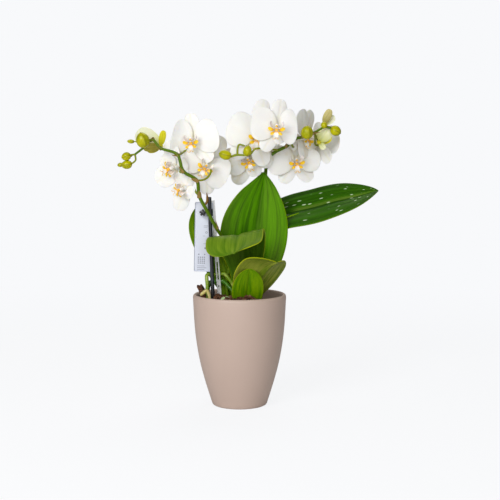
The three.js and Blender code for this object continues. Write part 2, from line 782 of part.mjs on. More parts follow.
// A flower stalk from a node of the spike to a point just behind a flower.
function pedicel(from, flower, via = [], radius = 1.15) {
  const local = (z) => v3([0, 0, z]).applyMatrix4(frames[flower]).toArray();
  const stations = [
    [...from, radius],
    ...via.map((p) => [...p, radius]),
    [...local(-9.5), radius],
    [...local(-5.1), radius + 0.2],
  ];
  return stem(stations, 2, 6);
}

const SPIKE_LEFT = [
  [-13, -1.6, 111.5, 2.0],
  [-13.8, -1.6, 122, 2.0],
  [-14.5, -1.4, 140, 2.0],
  [-11, -2, 162, 2.0],
  [-17.6, -12, 188.2, 2.0],
  [-25.8, -22, 203, 2.0],
  [-35.2, -27.4, 221, 2.0],
  [-43.8, -30, 238.3, 2.0],
  [-46.2, -34, 255, 1.9],
  [-60.6, -37, 265.2, 1.8],
  [-67, -35, 283, 1.7],
  [-86.1, -27, 290.2, 1.5],
  [-95.1, -23, 299.2, 1.4],
  [-104.8, -17, 290.8, 1.3],
  [-115, -15, 283, 1.2],
];
const spikeLeft = () => union([
  stem(SPIKE_LEFT, 2, 6),
  pedicel([-43.8, -30, 238.3], "bloom_l4", [[-47, -27, 241], [-50, -20, 246]]),
  pedicel([-60.6, -37, 265.2], "bloom_l3", [[-64, -30, 263.6], [-65, -18, 266]]),
  pedicel([-67, -35, 283], "bloom_l1", [[-64.5, -24, 283.5], [-60, -10, 287]]),
  pedicel([-86.1, -27, 290.2], "opening_l", [[-86, -16, 290.4]]),
  // the stalk of the second flower passes in front of its lower sepal
  stem([[-46.2, -34, 255, 1.15], [-40, -31.5, 255.3, 1.15], [-34.6, -27.5, 258, 1.15], [-31.4, -23.5, 263, 1.1], [-31.2, -20.5, 266.6, 0.9]], 2, 6),
  // the buds of the tip
  stem([[-101, -18.5, 294, 1.1], [-104.5, -22, 295, 1.0]], 1, 6),
  egg([-103, -23, 290.5], [-0.28, -0.3, 1], 17.5, 7.4, 4, 7),
  stem([[-106, -17, 290.5, 0.8], [-113, -12, 296.5, 0.6], [-121, -10, 297.4, 0.7]], 2, 5),
  egg([-116, -11, 297.0], [-1, 0.1, 0.06], 8, 2.3, 3, 6),
  stem([[-115, -15, 283, 1.1], [-121, -17, 282.2, 1.0]], 1, 6),
  egg([-119.5, -17, 282.4], [-1, 0, -0.32], 10.5, 4.7, 4, 6),
  stem([[-115, -15, 283, 1.1], [-114.6, -14, 276.5, 1.0], [-119.5, -14, 272.4, 1.0]], 2, 5),
  egg([-118.4, -14, 272.6], [-1, 0, -0.14], 12, 5.0, 4, 6),
  stem([[-117, -15.2, 282.8, 0.8], [-126, -9.5, 276, 0.7], [-131, -8, 271.4, 0.7]], 2, 5),
  egg([-129, -8.6, 272], [-1, 0.1, -0.2], 6.5, 2.5, 3, 6),
]);
putClear("spike_left", spikeLeft, 0.12);

const SPIKE_RIGHT = [
  [-6, 13.8, 111.5, 2.1],
  [-6.2, 15, 122, 2.1],
  [-3, 22, 150, 2.1],
  [6, 27, 180, 2.1],
  [20, 28, 213, 2.1],
  [28.7, 31, 250, 2.0],
  [30.5, 24, 270, 2.0],
  [34.5, 8, 280.5, 1.9],
  [41.5, -4, 286.5, 1.9],
  [52.8, -15, 292.6, 1.8],
  [57.6, -20, 299.4, 1.7],
  [70, -22.5, 302.1, 1.6],
  [82, -20, 306.8, 1.4],
  [94.8, -16, 313.1, 1.2],
  [101, -16, 311.7, 1.1],
];
const spikeRight = () => union([
  stem(SPIKE_RIGHT, 2, 6),
  pedicel([30.5, 24, 270], "bloom_r3", [[22, 26, 274]]),
  pedicel([30.5, 24, 270], "bloom_r1", [[29, 13, 291]]),
  pedicel([54.5, -17, 295], "bloom_r2", [[48, -17, 303]]),
  pedicel([30.5, 24, 270], "bloom_r4", [[45, 24, 278]]),
  pedicel([56.5, -19, 297.6], "bloom_r5", [[59.5, -8, 291], [61.5, 4, 294]]),
  pedicel([82, -20, 306.8], "bloom_r6", [[84, -6, 302]]),
  pedicel([94.8, -16, 313.1], "opening_r2", [[94.6, -9, 314]]),
  pedicel([82, -20, 306.8], "opening_r1", [[84, -14, 304]]),
  // the buds of the tip
  egg([74, -25, 300.0], [0, -0.4, 1], 15, 6.8, 4, 7),
  egg([100.4, -16, 311.7], [0.95, 0, -0.5], 12.5, 5.7, 4, 7),
  egg([93.4, -16.5, 311.5], [-0.1, -0.2, 1], 7.5, 3.6, 3, 7),
  // the side branch
  stem([[43.5, -6, 287.6, 1.2], [36, -12, 288.5, 1.1], [27, -20, 289.4, 1.1], [17.4, -25, 289.0, 1.1], [11.5, -26, 282.8, 1.1], [2, -25.5, 282.4, 1.2], [-2.4, -25, 282.6, 1.4], [-10.5, -26, 280.2, 1.2]], 2, 6),
  egg([-8.6, -26, 281.0], [-1, -0.1, 0.24], 14, 5.4, 4, 6),
  egg([7.2, -27.2, 281.2], [0.3, -0.1, 1], 12, 4.7, 4, 6),
  stem([[-2, -25, 282.8, 1.3], [-1.6, -25, 290, 1.2], [0, -24.5, 293.6, 1.2], [5.6, -24.5, 292.6, 0.9]], 2, 6),
]);
putClear("spike_right", spikeRight, 0.12);

// ---------------------------------------------------------------- leaves in place

for (const [name, leaf] of Object.entries(LEAVES))
  putClear(name, () => blade(leafGrid(leaf), leaf.thick));

// ---------------------------------------------------------------- flowers

for (const [name, flower] of Object.entries(FLOWERS)) {
  const frame = frames[name];
  putClear(
    name,
    () =>
      union([
        egg(
          v3([0, 0, -4.6]).applyMatrix4(frame).toArray(),
          v3([0, 0, 1]).transformDirection(frame).toArray(),
          7.4,
          BLOOM_HEART,
          2,
          5,
        ),
        ...flower.tepals.map((t) =>
          blade(
            placed(
              frame,
              tepalGrid({ ...t, length: t.length * flower.size, half: t.half * flower.size }),
            ),
            TEPAL_THICK,
          ),
        ),
      ]),
    0.1,
  );
  if (!(name in BLOOMS)) continue;
  const { yaw = 0, roll = 0 } = flower.lip || {};
  const lipFrame = frame
    .clone()
    .multiply(new THREE.Matrix4().makeRotationY(yaw * DEG))
    .multiply(new THREE.Matrix4().makeRotationZ(-roll * DEG));
  putClear(name + "_lip", () => lipSolid(lipFrame, flower.size), 0.18);
}

// ---------------------------------------------------------------- bark

const BARK_FLOOR = GROW.floor + GROW.wall + GAP;
const barkInner = (z) => growRadius(z) - GROW.wall - GAP - 0.1;
// how high the bark lies above its level: heaped up at the front left and in front of the small leaf
const barkMound = (x, y) => {
  const heap = 11 * Math.exp(-((x + 20) ** 2 + (y + 26) ** 2) / 420),
    front = 10 * Math.exp(-((x - 2) ** 2 + (y + 39) ** 2) / 200);
  return Math.max(heap, front) - (x > 18 ? 2 : 0);
};
const rand = stream(20240611);
const barkBody = turned(
  [
    [0, BARK_FLOOR],
    [barkInner(BARK_FLOOR) - 0.6, BARK_FLOOR],
    [barkInner(60), 60],
    [barkInner(111), 111],
    [34, 113.5],
    [20, 115.5],
    [0, 116.5],
  ],
  22,
);
const chips = [];
for (let k = 0; k < 24; k++) {
  const a = rand() * 2 * Math.PI,
    r = 39 * Math.sqrt(rand()),
    x = r * Math.cos(a),
    y = r * Math.sin(a),
    mound = barkMound(x, y);
  chips.push(
    box(
      [7 + 8 * rand(), 5 + 5 * rand(), 3.5 + 3 * rand()],
      [x, y, 114.6 + mound + 2.2 * rand() - 0.05 * r],
      [60 * (rand() - 0.5), 60 * (rand() - 0.5), 360 * rand()],
    ),
  );
}
// the pointed chip that stands at the left
chips.push(box([6.5, 4, 26], [-40.2, -10, 126.5], [8, -14, 24]));
const barkLimit = turned(
  [[0, 0], [barkInner(0), 0], [barkInner(113), 113], [43.2, 115], [43.2, 140], [0, 140]],
  24,
);
// the heap's body, from its height over a grid of places
const heapGrid = [];
for (let i = 0; i <= 10; i++) {
  const y = -43 + 4.6 * i;
  heapGrid.push([0, 1, 2, 3, 4, 5, 6, 7, 8].map((j) => v3([-43 + 8 * j, y, 109 + 1.0 * barkMound(-43 + 8 * j, y)])));
}
const heapBody = blade(heapGrid, 7);
const bark = union([barkBody, heapBody, ...chips]).intersect(barkLimit);

putClear("bark_mix", () => bark, 0.35);

export default plant;
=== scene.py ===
"""A potted moth orchid, modelled and dressed for rendering round its CAD frame.

The tables give every size in millimetres, in the frame of the CAD model: +Z up, the pot standing on
z = 0 with its axis on the z axis, the front toward -Y. MM turns them into Blender's metres.
"""

import logging
import math
import random
from collections.abc import Callable, Iterator, Sequence
from contextlib import contextmanager
from dataclasses import dataclass, replace
from enum import Enum

import bpy
from mathutils import Matrix, Vector, noise
from mathutils.bvhtree import BVHTree


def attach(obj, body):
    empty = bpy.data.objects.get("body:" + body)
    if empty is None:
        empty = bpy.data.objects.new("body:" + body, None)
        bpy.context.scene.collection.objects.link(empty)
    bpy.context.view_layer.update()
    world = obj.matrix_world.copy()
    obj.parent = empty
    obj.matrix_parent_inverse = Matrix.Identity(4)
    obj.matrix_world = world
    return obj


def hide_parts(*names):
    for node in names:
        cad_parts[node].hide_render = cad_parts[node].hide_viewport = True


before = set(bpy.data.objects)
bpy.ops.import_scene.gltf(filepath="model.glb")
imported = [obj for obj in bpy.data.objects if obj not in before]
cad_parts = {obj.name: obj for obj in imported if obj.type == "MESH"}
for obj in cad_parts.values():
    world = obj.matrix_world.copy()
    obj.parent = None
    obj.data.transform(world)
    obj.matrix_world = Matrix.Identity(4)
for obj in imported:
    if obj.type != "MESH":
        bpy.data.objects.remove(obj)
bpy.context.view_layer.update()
bpy.ops.object.select_all(action="DESELECT")

log = logging.getLogger("potted_orchid")

MM = 0.001
MERGE = 2e-6  # metres: vertices closer than this are one
TURN = 2 * math.pi
QUARTER = math.pi / 2
ROUNDING = (0.0, 0.35, 0.7, 0.93)  # the radii of the rings that round a tube's end, as shares of its own
Colour = tuple[float, float, float, float]
Point = tuple[float, float, float]
Station = tuple[float, float, float, float]
Place = Callable[[float, float], Vector]


# ------------------------------------------------------------------ shader graph


def srgb(red: int, green: int, blue: int) -> Colour:
    """Returns the linear colour of an sRGB one given from 0 to 255."""

    def linear(channel: int) -> float:
        """Returns one channel without its display curve."""
        c = channel / 255
        return c / 12.92 if c <= 0.04045 else ((c + 0.055) / 1.055) ** 2.4

    return (linear(red), linear(green), linear(blue), 1.0)


class Signal:
    """A number on a socket, with arithmetic that adds Math nodes."""

    def __init__(self, graph: "Graph", socket: bpy.types.NodeSocket) -> None:
        """Wraps a socket of a graph."""
        self.graph = graph
        self.socket = socket

    def math(self, operation: str, *others: "Signal | float") -> "Signal":
        """Adds one Math node on this signal and others, and returns its result."""
        sockets = dict(enumerate([self, *others]))
        return Signal(self.graph, self.graph.add("ShaderNodeMath", sockets, operation=operation).outputs[0])

    def __add__(self, other: "Signal | float") -> "Signal":
        """Adds."""
        return self.math("ADD", other)

    def __sub__(self, other: "Signal | float") -> "Signal":
        """Subtracts."""
        return self.math("SUBTRACT", other)

    def __rsub__(self, other: float) -> "Signal":
        """Subtracts from a number."""
        return self * -1 + other

    def __mul__(self, other: "Signal | float") -> "Signal":
        """Multiplies."""
        return self.math("MULTIPLY", other)

    def __pow__(self, other: float) -> "Signal":
        """Raises to a power."""
        return self.math("POWER", other)

    def __abs__(self) -> "Signal":
        """Drops the sign."""
        return self.math("ABSOLUTE")

    def sine(self) -> "Signal":
        """Returns the sine of an angle in radians."""
        return self.math("SINE")

    def wave(self) -> "Signal":
        """Returns the sine of an angle, moved to run from 0 to 1."""
        return self.sine() * 0.5 + 0.5

    def most(self, other: "Signal | float") -> "Signal":
        """Returns the larger of two signals."""
        return self.math("MAXIMUM", other)

    def between(self, low: float, high: float) -> "Signal":
        """Rises smoothly from 0 at low to 1 at high, or falls where low is the larger."""
        sockets = {"Value": self, "From Min": low, "From Max": high}
        node = self.graph.add("ShaderNodeMapRange", sockets, interpolation_type="SMOOTHSTEP")
        return Signal(self.graph, node.outputs[0])


Input = Signal | bpy.types.NodeSocket | float | Colour | Vector


class Graph:
    """The nodes of one material, with its Principled shader."""

    NOISE_ROUGHNESS = 0.6

    def __init__(self, name: str, **constants: float | tuple[float, ...]) -> None:
        """Starts a material.

        Args:
            name: the material's name.
            constants: what is set on the shader's own sockets, with _ for each space.
        """
        self.material = bpy.data.materials.new(name)
        self.material.use_nodes = True
        self.tree = self.material.node_tree
        self.shader = self.tree.nodes["Principled BSDF"]
        for key, value in constants.items():
            self.wire(key.replace("_", " "), value)

    def feed(self, target: bpy.types.NodeSocket, value: Input) -> None:
        """Links a signal or socket to an input, or sets the input to a value."""
        source = value.socket if isinstance(value, Signal) else value
        if isinstance(source, bpy.types.NodeSocket):
            self.tree.links.new(source, target)
        else:
            target.default_value = source

    def wire(self, name: str, value: Input) -> None:
        """Sets or links one of the shader's inputs."""
        self.feed(self.shader.inputs[name], value)

    def add(
        self, kind: str, sockets: dict[int | str, Input] | None = None, **settings: object
    ) -> bpy.types.Node:
        """Adds a node.

        Args:
            kind: the node's type.
            sockets: the value or link of each input, by its index or name.
            settings: what is set on the node itself.

        Returns:
            The node.
        """
        node = self.tree.nodes.new(kind)
        for key, value in settings.items():
            setattr(node, key, value)
        for key, value in (sockets or {}).items():
            self.feed(node.inputs[key], value)
        return node

    def place(self) -> bpy.types.NodeSocket:
        """Returns the Object coordinates."""
        return self.add("ShaderNodeTexCoord").outputs["Object"]

    def stretched(self, height: float) -> bpy.types.NodeSocket:
        """Returns the Object coordinates with their heights scaled."""
        sockets = {"Vector": self.place(), "Scale": Vector((1, 1, height))}
        return self.add("ShaderNodeMapping", sockets).outputs[0]

    def axes(self, vector: bpy.types.NodeSocket) -> list[Signal]:
        """Returns the three parts of a vector."""
        return [Signal(self, socket) for socket in self.add("ShaderNodeSeparateXYZ", {0: vector}).outputs]

    def sheet(self) -> list[Signal]:
        """Returns how far across and along its sheet a point lies, each from 0 to 1."""
        return self.axes(self.add("ShaderNodeUVMap", uv_map="UVMap").outputs[0])[:2]

    def woven(self, wide: float, long: float) -> bpy.types.NodeSocket:
        """Returns coordinates that run so far across the sheet and so far along it."""
        across, along = self.sheet()
        return self.add("ShaderNodeCombineXYZ", {0: across * wide, 1: along * long}).outputs[0]

    def attribute(self, name: str) -> Signal:
        """Returns a number kept at the vertices."""
        return Signal(self, self.add("ShaderNodeAttribute", attribute_name=name).outputs["Fac"])

    def speckle(self, scale: float, detail: float, vector: bpy.types.NodeSocket | None = None) -> Signal:
        """Adds cloudy noise.

        Args:
            scale: features in each metre.
            detail: how many finer layers it has.
            vector: the coordinates, or the Object coordinates where none are given.

        Returns:
            A signal from 0 to 1.
        """
        sockets = {"Vector": vector or self.place(), "Scale": scale, "Detail": detail}
        node = self.add("ShaderNodeTexNoise", {**sockets, "Roughness": self.NOISE_ROUGHNESS})
        return Signal(self, node.outputs[0])

    def cells(self, scale: float, vector: bpy.types.NodeSocket | None = None) -> Signal:
        """Returns the distance to the nearest of scattered points, for dots and cracks."""
        sockets = {"Vector": vector or self.place(), "Scale": scale}
        return Signal(self, self.add("ShaderNodeTexVoronoi", sockets).outputs["Distance"])

    def mix(self, share: Input, first: Input, second: Input) -> bpy.types.NodeSocket:
        """Blends from the first colour to the second."""
        return self.add("ShaderNodeMix", data_type="RGBA", sockets={0: share, 6: first, 7: second}).outputs[2]

    def finish(self, colour: Input, roughness: Input, height: Signal, depth: float) -> bpy.types.Material:
        """Links the shader.

        Args:
            colour: the base colour.
            roughness: the roughness.
            height: the relief, from 0 to 1.
            depth: how far the relief stands out, in millimetres.

        Returns:
            The material.
        """
        self.wire("Base Color", colour)
        self.wire("Roughness", roughness)
        sockets = {"Height": height, "Distance": depth * MM, "Strength": 1.0}
        self.wire("Normal", self.add("ShaderNodeBump", sockets).outputs[0])
        return self.material


# ------------------------------------------------------------------ finishes


@dataclass(frozen=True)
class Glaze:
    """The pot's matte taupe glaze, with fine grain and faint clouds."""

    light: Colour = srgb(203, 181, 169)
    deep: Colour = srgb(190, 168, 156)
    roughness: float = 0.42

    def material(self) -> bpy.types.Material:
        """Returns the glaze."""
        graph = Graph("taupe_glaze", Specular_IOR_Level=0.45, Coat_Weight=0.06, Coat_Roughness=0.35)
        clouds = graph.speckle(14, 4)
        grain = graph.speckle(1600, 2)
        colour = graph.mix(clouds * 0.6 + grain * 0.4, self.deep, self.light)
        return graph.finish(colour, clouds * 0.08 + self.roughness, grain + clouds * 0.6, 0.05)


@dataclass(frozen=True)
class ClearPlastic:
    """Clear plastic, of the nursery pot and of the label's pick."""

    name: str
    tint: Colour
    alpha: float
    scratches: float = 500

    def material(self) -> bpy.types.Material:
        """Returns the plastic."""
        graph = Graph(self.name, Specular_IOR_Level=0.7)
        haze = graph.speckle(self.scratches, 3, graph.stretched(0.15))
        graph.wire("Alpha", haze * 0.25 + self.alpha)
        return graph.finish(graph.mix(haze, self.tint, (1, 1, 1, 1)), haze * 0.25 + 0.08, haze, 0.03)


@dataclass(frozen=True)
class DarkPlastic:
    """Moulded dark plastic with fine lines along it."""

    name: str
    colour: Colour
    wear_and_shade: Colour
    roughness: float

    def material(self) -> bpy.types.Material:
        """Returns the plastic."""
        graph = Graph(self.name, Specular_IOR_Level=0.6)
        lines = graph.speckle(900, 2, graph.stretched(0.03))
        smudges = graph.speckle(90, 3)
        colour = graph.mix(smudges.between(0.45, 0.8), self.colour, self.wear_and_shade)
        return graph.finish(colour, smudges * 0.2 + self.roughness, lines, 0.05)


@dataclass(frozen=True)
class BarkGrain:
    """Pine bark: reddish brown fibre, with darker crevices and pale broken faces."""

    dark: Colour = srgb(52, 26, 16)
    red: Colour = srgb(112, 74, 50)
    pale: Colour = srgb(186, 152, 122)

    def material(self) -> bpy.types.Material:
        """Returns the bark."""
        graph = Graph("bark", Specular_IOR_Level=0.25)
        fibre = graph.speckle(260, 6, graph.stretched(3))
        patches = graph.speckle(70, 3)
        cracks = graph.cells(330)
        body = graph.mix(fibre.between(0.32, 0.68), self.dark, self.red)
        colour = graph.mix(patches.between(0.56, 0.74) * fibre, body, self.pale)
        return graph.finish(colour, fibre * 0.25 + 0.66, fibre + cracks * 0.5, 0.7)


@dataclass(frozen=True)
class RootSkin:
    """Root skin: green under a silvery grey coat that wears thin in spots."""

    name: str
    green: Colour
    silver: Colour
    coat: float
    glow: Point = (0.002, 0.003, 0.001)

    def material(self) -> bpy.types.Material:
        """Returns the skin."""
        graph = Graph(self.name, Specular_IOR_Level=0.5, Subsurface_Weight=0.1, Subsurface_Radius=self.glow)
        spots = graph.speckle(160, 4)
        pores = graph.speckle(1500, 2)
        shade = spots.between(0.75 - self.coat, 1.05 - self.coat)
        colour = graph.mix(shade, self.green, self.silver)
        return graph.finish(colour, shade * 0.2 + 0.3, pores + spots, 0.12)


@dataclass(frozen=True)
class StemSkin:
    """The skin of spikes and stalks: streaked green, with brown at the nodes."""

    name: str
    dark: Colour
    light: Colour
    node: Colour
    roughness: float = 0.32
    tint: Colour = (0.9, 1.0, 0.5, 1.0)

    def material(self) -> bpy.types.Material:
        """Returns the skin."""
        graph = Graph(
            self.name, Specular_IOR_Level=0.3, Specular_Tint=self.tint, Coat_Weight=0.05, Coat_Roughness=0.2
        )
        streaks = graph.speckle(1, 3, graph.woven(26, 40))
        mottle = graph.speckle(120, 4)
        body = graph.mix(streaks * 0.6 + mottle * 0.4, self.dark, self.light)
        aged = graph.attribute("aged") * mottle.between(0.2, 0.6)
        colour = graph.mix(aged, body, self.node)
        return graph.finish(colour, mottle * 0.2 + self.roughness, streaks + mottle, 0.08)


@dataclass(frozen=True)
class BudSkin:
    """Closed buds: glossy chartreuse, with painted shade in olive along the seams, at the foot and toward the
    tip.
    """

    bright: Colour = srgb(190, 186, 0)
    green: Colour = srgb(146, 152, 0)
    olive: Colour = srgb(112, 100, 8)
    tint: Colour = (1.0, 1.0, 0.5, 1.0)
    glow: Point = (0.003, 0.003, 0.001)
    seams: int = 3

    def material(self) -> bpy.types.Material:
        """Returns the skin."""
        graph = Graph(
            "bud_skin", Specular_IOR_Level=0.4, Specular_Tint=self.tint, Coat_Weight=0.12,
            Coat_Roughness=0.12, Subsurface_Weight=0.12, Subsurface_Radius=self.glow,
        )
        across, along = graph.sheet()
        clouds = graph.speckle(110, 3)
        body = graph.mix(clouds.between(0.3, 0.75), self.bright, self.green)
        seams = (across * (self.seams * TURN)).sine().between(0.86, 1.0) * 0.5
        # painted shade: olive along the seams and at both ends of the bud
        wear_and_shade = seams.most(along.between(0.22, 0.0) * 0.8) + along.between(0.84, 1.0) * 0.6
        streaks = graph.speckle(1, 2, graph.woven(40, 6))
        return graph.finish(graph.mix(wear_and_shade, body, self.olive), clouds * 0.12 + 0.24, streaks, 0.05)


@dataclass(frozen=True)
class LeafSkin:
    """A leaf's upper or under face: parallel veins, painted light and shade across its pleats, painted shade
    along the middle groove, and a yellowish margin.
    """

    name: str
    deep: Colour
    fresh: Colour
    edge: Colour
    gloss: float = 0.3
    roughness: float = 0.4
    pleats: float = 0.0
    flecks: float = 0.0
    tint: Colour = (0.9, 1.0, 0.2, 1.0)
    fleck: Colour = srgb(206, 226, 190)
    veins: int = 30

    def material(self) -> bpy.types.Material:
        """Returns the leaf's skin."""
        graph = Graph(self.name, Specular_IOR_Level=self.gloss, Specular_Tint=self.tint)
        across, along = graph.sheet()
        off = abs(across - 0.5) * 2
        wobble = graph.speckle(40, 3)
        lines = (across * (self.veins * TURN) + wobble * 5).wave()
        # painted light and shade: lighter on the pleats' ridges, darker in their grooves
        pleat_light_and_shade = (off * (math.pi * self.pleats) + (wobble * 0.6 + QUARTER)).wave()
        mottle = graph.speckle(1, 4, graph.woven(13, 2.6))
        fine = graph.speckle(1, 3, graph.woven(90, 12))
        shade = mottle.between(0.3, 0.7) * 0.66 + (1 - pleat_light_and_shade) * 0.16 + lines * fine * 0.18
        body = graph.mix(shade, self.deep, self.fresh)
        # painted shade: deep green in the pleats' grooves
        if self.pleats:
            body = graph.mix(pleat_light_and_shade.between(0.92, 1.0) * 0.3, body, self.deep)
        # painted shade: deep green along the middle groove
        body = graph.mix(off.between(0.06, 0.0) * 0.5, body, self.deep)
        body = graph.mix(off.between(0.95, 1.0) * 0.6, body, self.edge)
        if self.flecks:
            dots = graph.cells(1, graph.woven(13, 22)).between(0.2, 0.1)
            zone = off.between(0.92, 0.7) * along.between(0.42, 0.6)
            body = graph.mix(dots * zone * self.flecks, body, self.fleck)
        relief = lines * 0.35 + fine * 0.4 + graph.speckle(700, 2) * 0.25
        return graph.finish(body, mottle * 0.16 + self.roughness, relief, 0.09)


@dataclass(frozen=True)
class PetalSkin:
    """Petals: white and waxy, with fine fanned veins, a cream tone at the foot, and painted shade: a khaki
    tint where the baked shade attribute says little light reaches.
    """

    name: str
    white: Colour = srgb(243, 243, 241)
    foot: Colour = srgb(228, 222, 186)
    # the khaki colour of the painted shade
    painted_shade: Colour = srgb(208, 188, 130)
    stripe: Colour = srgb(240, 236, 196)
    striped: float = 0.0
    foot_reach: float = 0.3
    glow: Point = (0.004, 0.0032, 0.002)

    def material(self) -> bpy.types.Material:
        """Returns the petal's skin."""
        graph = Graph(
            self.name, Specular_IOR_Level=0.3, Subsurface_Weight=0.25, Sheen_Weight=0.08,
            Subsurface_Radius=self.glow,
        )
        across, along = graph.sheet()
        veins = (across * 130 + graph.speckle(60, 3) * 7).wave()
        fine = graph.speckle(1, 3, graph.woven(60, 16))
        body = graph.mix(veins * fine * 0.10, self.white, self.foot)
        heart = along.between(self.foot_reach, 0.0) * 0.8
        striped = (abs(across - 0.5) * 2).between(0.3, 0.0) * self.striped
        body = graph.mix(heart.most(striped * 0.4), body, graph.mix(striped, self.foot, self.stripe))
        # painted shade: the khaki tint grows where the baked shade attribute says the light is blocked or
        # turned away
        body = graph.mix(graph.attribute("shade").between(0.5, 1.0) * 0.55, body, self.painted_shade)
        return graph.finish(body, graph.speckle(45, 3) * 0.1 + 0.42, veins * 0.3 + fine * 0.7, 0.14)


@dataclass(frozen=True)
class LipSkin:
    """The lip's skin: one ground colour with a second toward its foot and short red-brown bars."""

    name: str
    ground: Colour
    foot: Colour
    bars: Colour = srgb(176, 70, 30)
    barred: float = 0.6
    reach: float = 0.6
    glow: Point = (0.003, 0.002, 0.001)

    def material(self) -> bpy.types.Material:
        """Returns the skin."""
        graph = Graph(
            self.name, Specular_IOR_Level=0.5, Subsurface_Weight=0.15, Coat_Weight=0.15,
            Subsurface_Radius=self.glow,
        )
        across, along = graph.sheet()
        wobble = graph.speckle(350, 3)
        stripes = (across * 34 + wobble * 5).sine().between(0.1, 0.9)
        body = graph.mix(along.between(self.reach, 0.1), self.ground, self.foot)
        marks = stripes * along.between(self.reach, 0.05) * wobble.between(0.35, 0.6) * self.barred
        return graph.finish(graph.mix(marks, body, self.bars), wobble * 0.15 + 0.3, wobble, 0.08)


@dataclass(frozen=True)
class CardStock:
    """Satin printed card."""

    name: str
    face: Colour
    cloud: Colour

    def material(self) -> bpy.types.Material:
        """Returns the card."""
        graph = Graph(self.name, Specular_IOR_Level=0.5, Coat_Weight=0.2, Coat_Roughness=0.2)
        fibre = graph.speckle(1400, 3)
        colour = graph.mix(graph.speckle(25, 2) * 0.7 + fibre * 0.3, self.face, self.cloud)
        return graph.finish(colour, fibre * 0.1 + 0.35, fibre, 0.02)


# ------------------------------------------------------------------ mesh work


def only(piece: bpy.types.Object) -> None:
    """Makes a piece the one that operators act on."""
    bpy.ops.object.select_all(action="DESELECT")
    piece.select_set(True)
    bpy.context.view_layer.objects.active = piece


@contextmanager
def editing() -> Iterator[None]:
    """Opens the active piece in edit mode with all of it selected, and closes it afterwards."""
    bpy.ops.object.mode_set(mode="EDIT")
    bpy.ops.mesh.select_all(action="SELECT")
    yield
    bpy.ops.object.mode_set(mode="OBJECT")


def modify(piece: bpy.types.Object, kind: str, **settings: object) -> None:
    """Adds a modifier to a piece and applies it.

    Args:
        piece: the piece.
        kind: the modifier's type.
        settings: what is set on it.
    """
    only(piece)
    modifier = piece.modifiers.new(kind.lower(), kind)
    for key, value in settings.items():
        setattr(modifier, key, value)
    bpy.ops.object.modifier_apply(modifier=modifier.name)


def smoothed(piece: bpy.types.Object) -> bpy.types.Object:
    """Subdivides a piece once, shades it smooth and returns it."""
    modify(piece, "SUBSURF", levels=1, render_levels=1)
    bpy.ops.object.shade_smooth()
    return piece


def creased(piece: bpy.types.Object, degrees: float) -> bpy.types.Object:
    """Shades a piece smooth except at edges sharper than an angle, and returns it."""
    only(piece)
    bpy.ops.object.shade_smooth_by_angle(angle=math.radians(degrees))
    return piece


def bevelled(piece: bpy.types.Object, width: float, segments: int, degrees: float) -> bpy.types.Object:
    """Bevels a piece's edges sharper than an angle, by a width in millimetres, and returns it."""
    sharp = {"limit_method": "ANGLE", "angle_limit": math.radians(degrees)}
    modify(piece, "BEVEL", width=width * MM, segments=segments, **sharp)
    return piece


def thickened(piece: bpy.types.Object, thickness: float, **settings: object) -> bpy.types.Object:
    """Gives a sheet its thickness in millimetres, subdivides it, shades it smooth and returns it."""
    modify(piece, "SOLIDIFY", thickness=thickness * MM, offset=0, **settings)
    return smoothed(piece)


def mend(piece: bpy.types.Object) -> None:
    """Merges the vertices that lie together and turns every face outwards."""
    only(piece)
    with editing():
        bpy.ops.mesh.remove_doubles(threshold=MERGE)
        bpy.ops.mesh.normals_make_consistent(inside=False)


def named(name: str) -> bpy.types.Object:
    """Names the new primitive and returns it."""
    piece = bpy.context.active_object
    piece.name = name
    piece.data.name = name
    return piece


def cube(name: str) -> bpy.types.Object:
    """Adds a cube of one metre and returns it."""
    bpy.ops.mesh.primitive_cube_add(size=1)
    return named(name)


def sheet(name: str, rows: int, cols: int, place: Place) -> bpy.types.Object:
    """Adds a grid and bends it to a surface.

    Args:
        name: the piece's name.
        rows: faces along the sheet.
        cols: faces across it.
        place: gives a point, in millimetres, from how far across and along it is.

    Returns:
        The piece, with its UV map across and along the sheet.
    """
    bpy.ops.mesh.primitive_grid_add(x_subdivisions=cols, y_subdivisions=rows, size=2)
    piece = named(name)
    for vertex in piece.data.vertices:
        vertex.co = place((vertex.co.x + 1) / 2, (vertex.co.y + 1) / 2) * MM
    return piece


def mark(
    piece: bpy.types.Object, name: str, value: float | Callable[[bpy.types.MeshVertex], float]
) -> bpy.types.Object:
    """Keeps a number at each vertex of a piece.

    Args:
        piece: the piece.
        name: the attribute's name.
        value: the number, or what gives it from the vertex.

    Returns:
        The piece.
    """
    layer = piece.data.attributes.new(name, "FLOAT", "POINT")
    for vertex in piece.data.vertices:
        layer.data[vertex.index].value = value(vertex) if callable(value) else value
    return piece


def joined(name: str, parts: list[bpy.types.Object]) -> bpy.types.Object:
    """Joins parts into one piece."""
    only(parts[0])
    for part in parts:
        part.select_set(True)
    bpy.ops.object.join()
    return named(name)


def dressed(piece: bpy.types.Object, *materials: bpy.types.Material) -> bpy.types.Object:
    """Gives a piece its materials."""
    piece.data.materials.clear()
    for material in materials:
        piece.data.materials.append(material)
    return piece


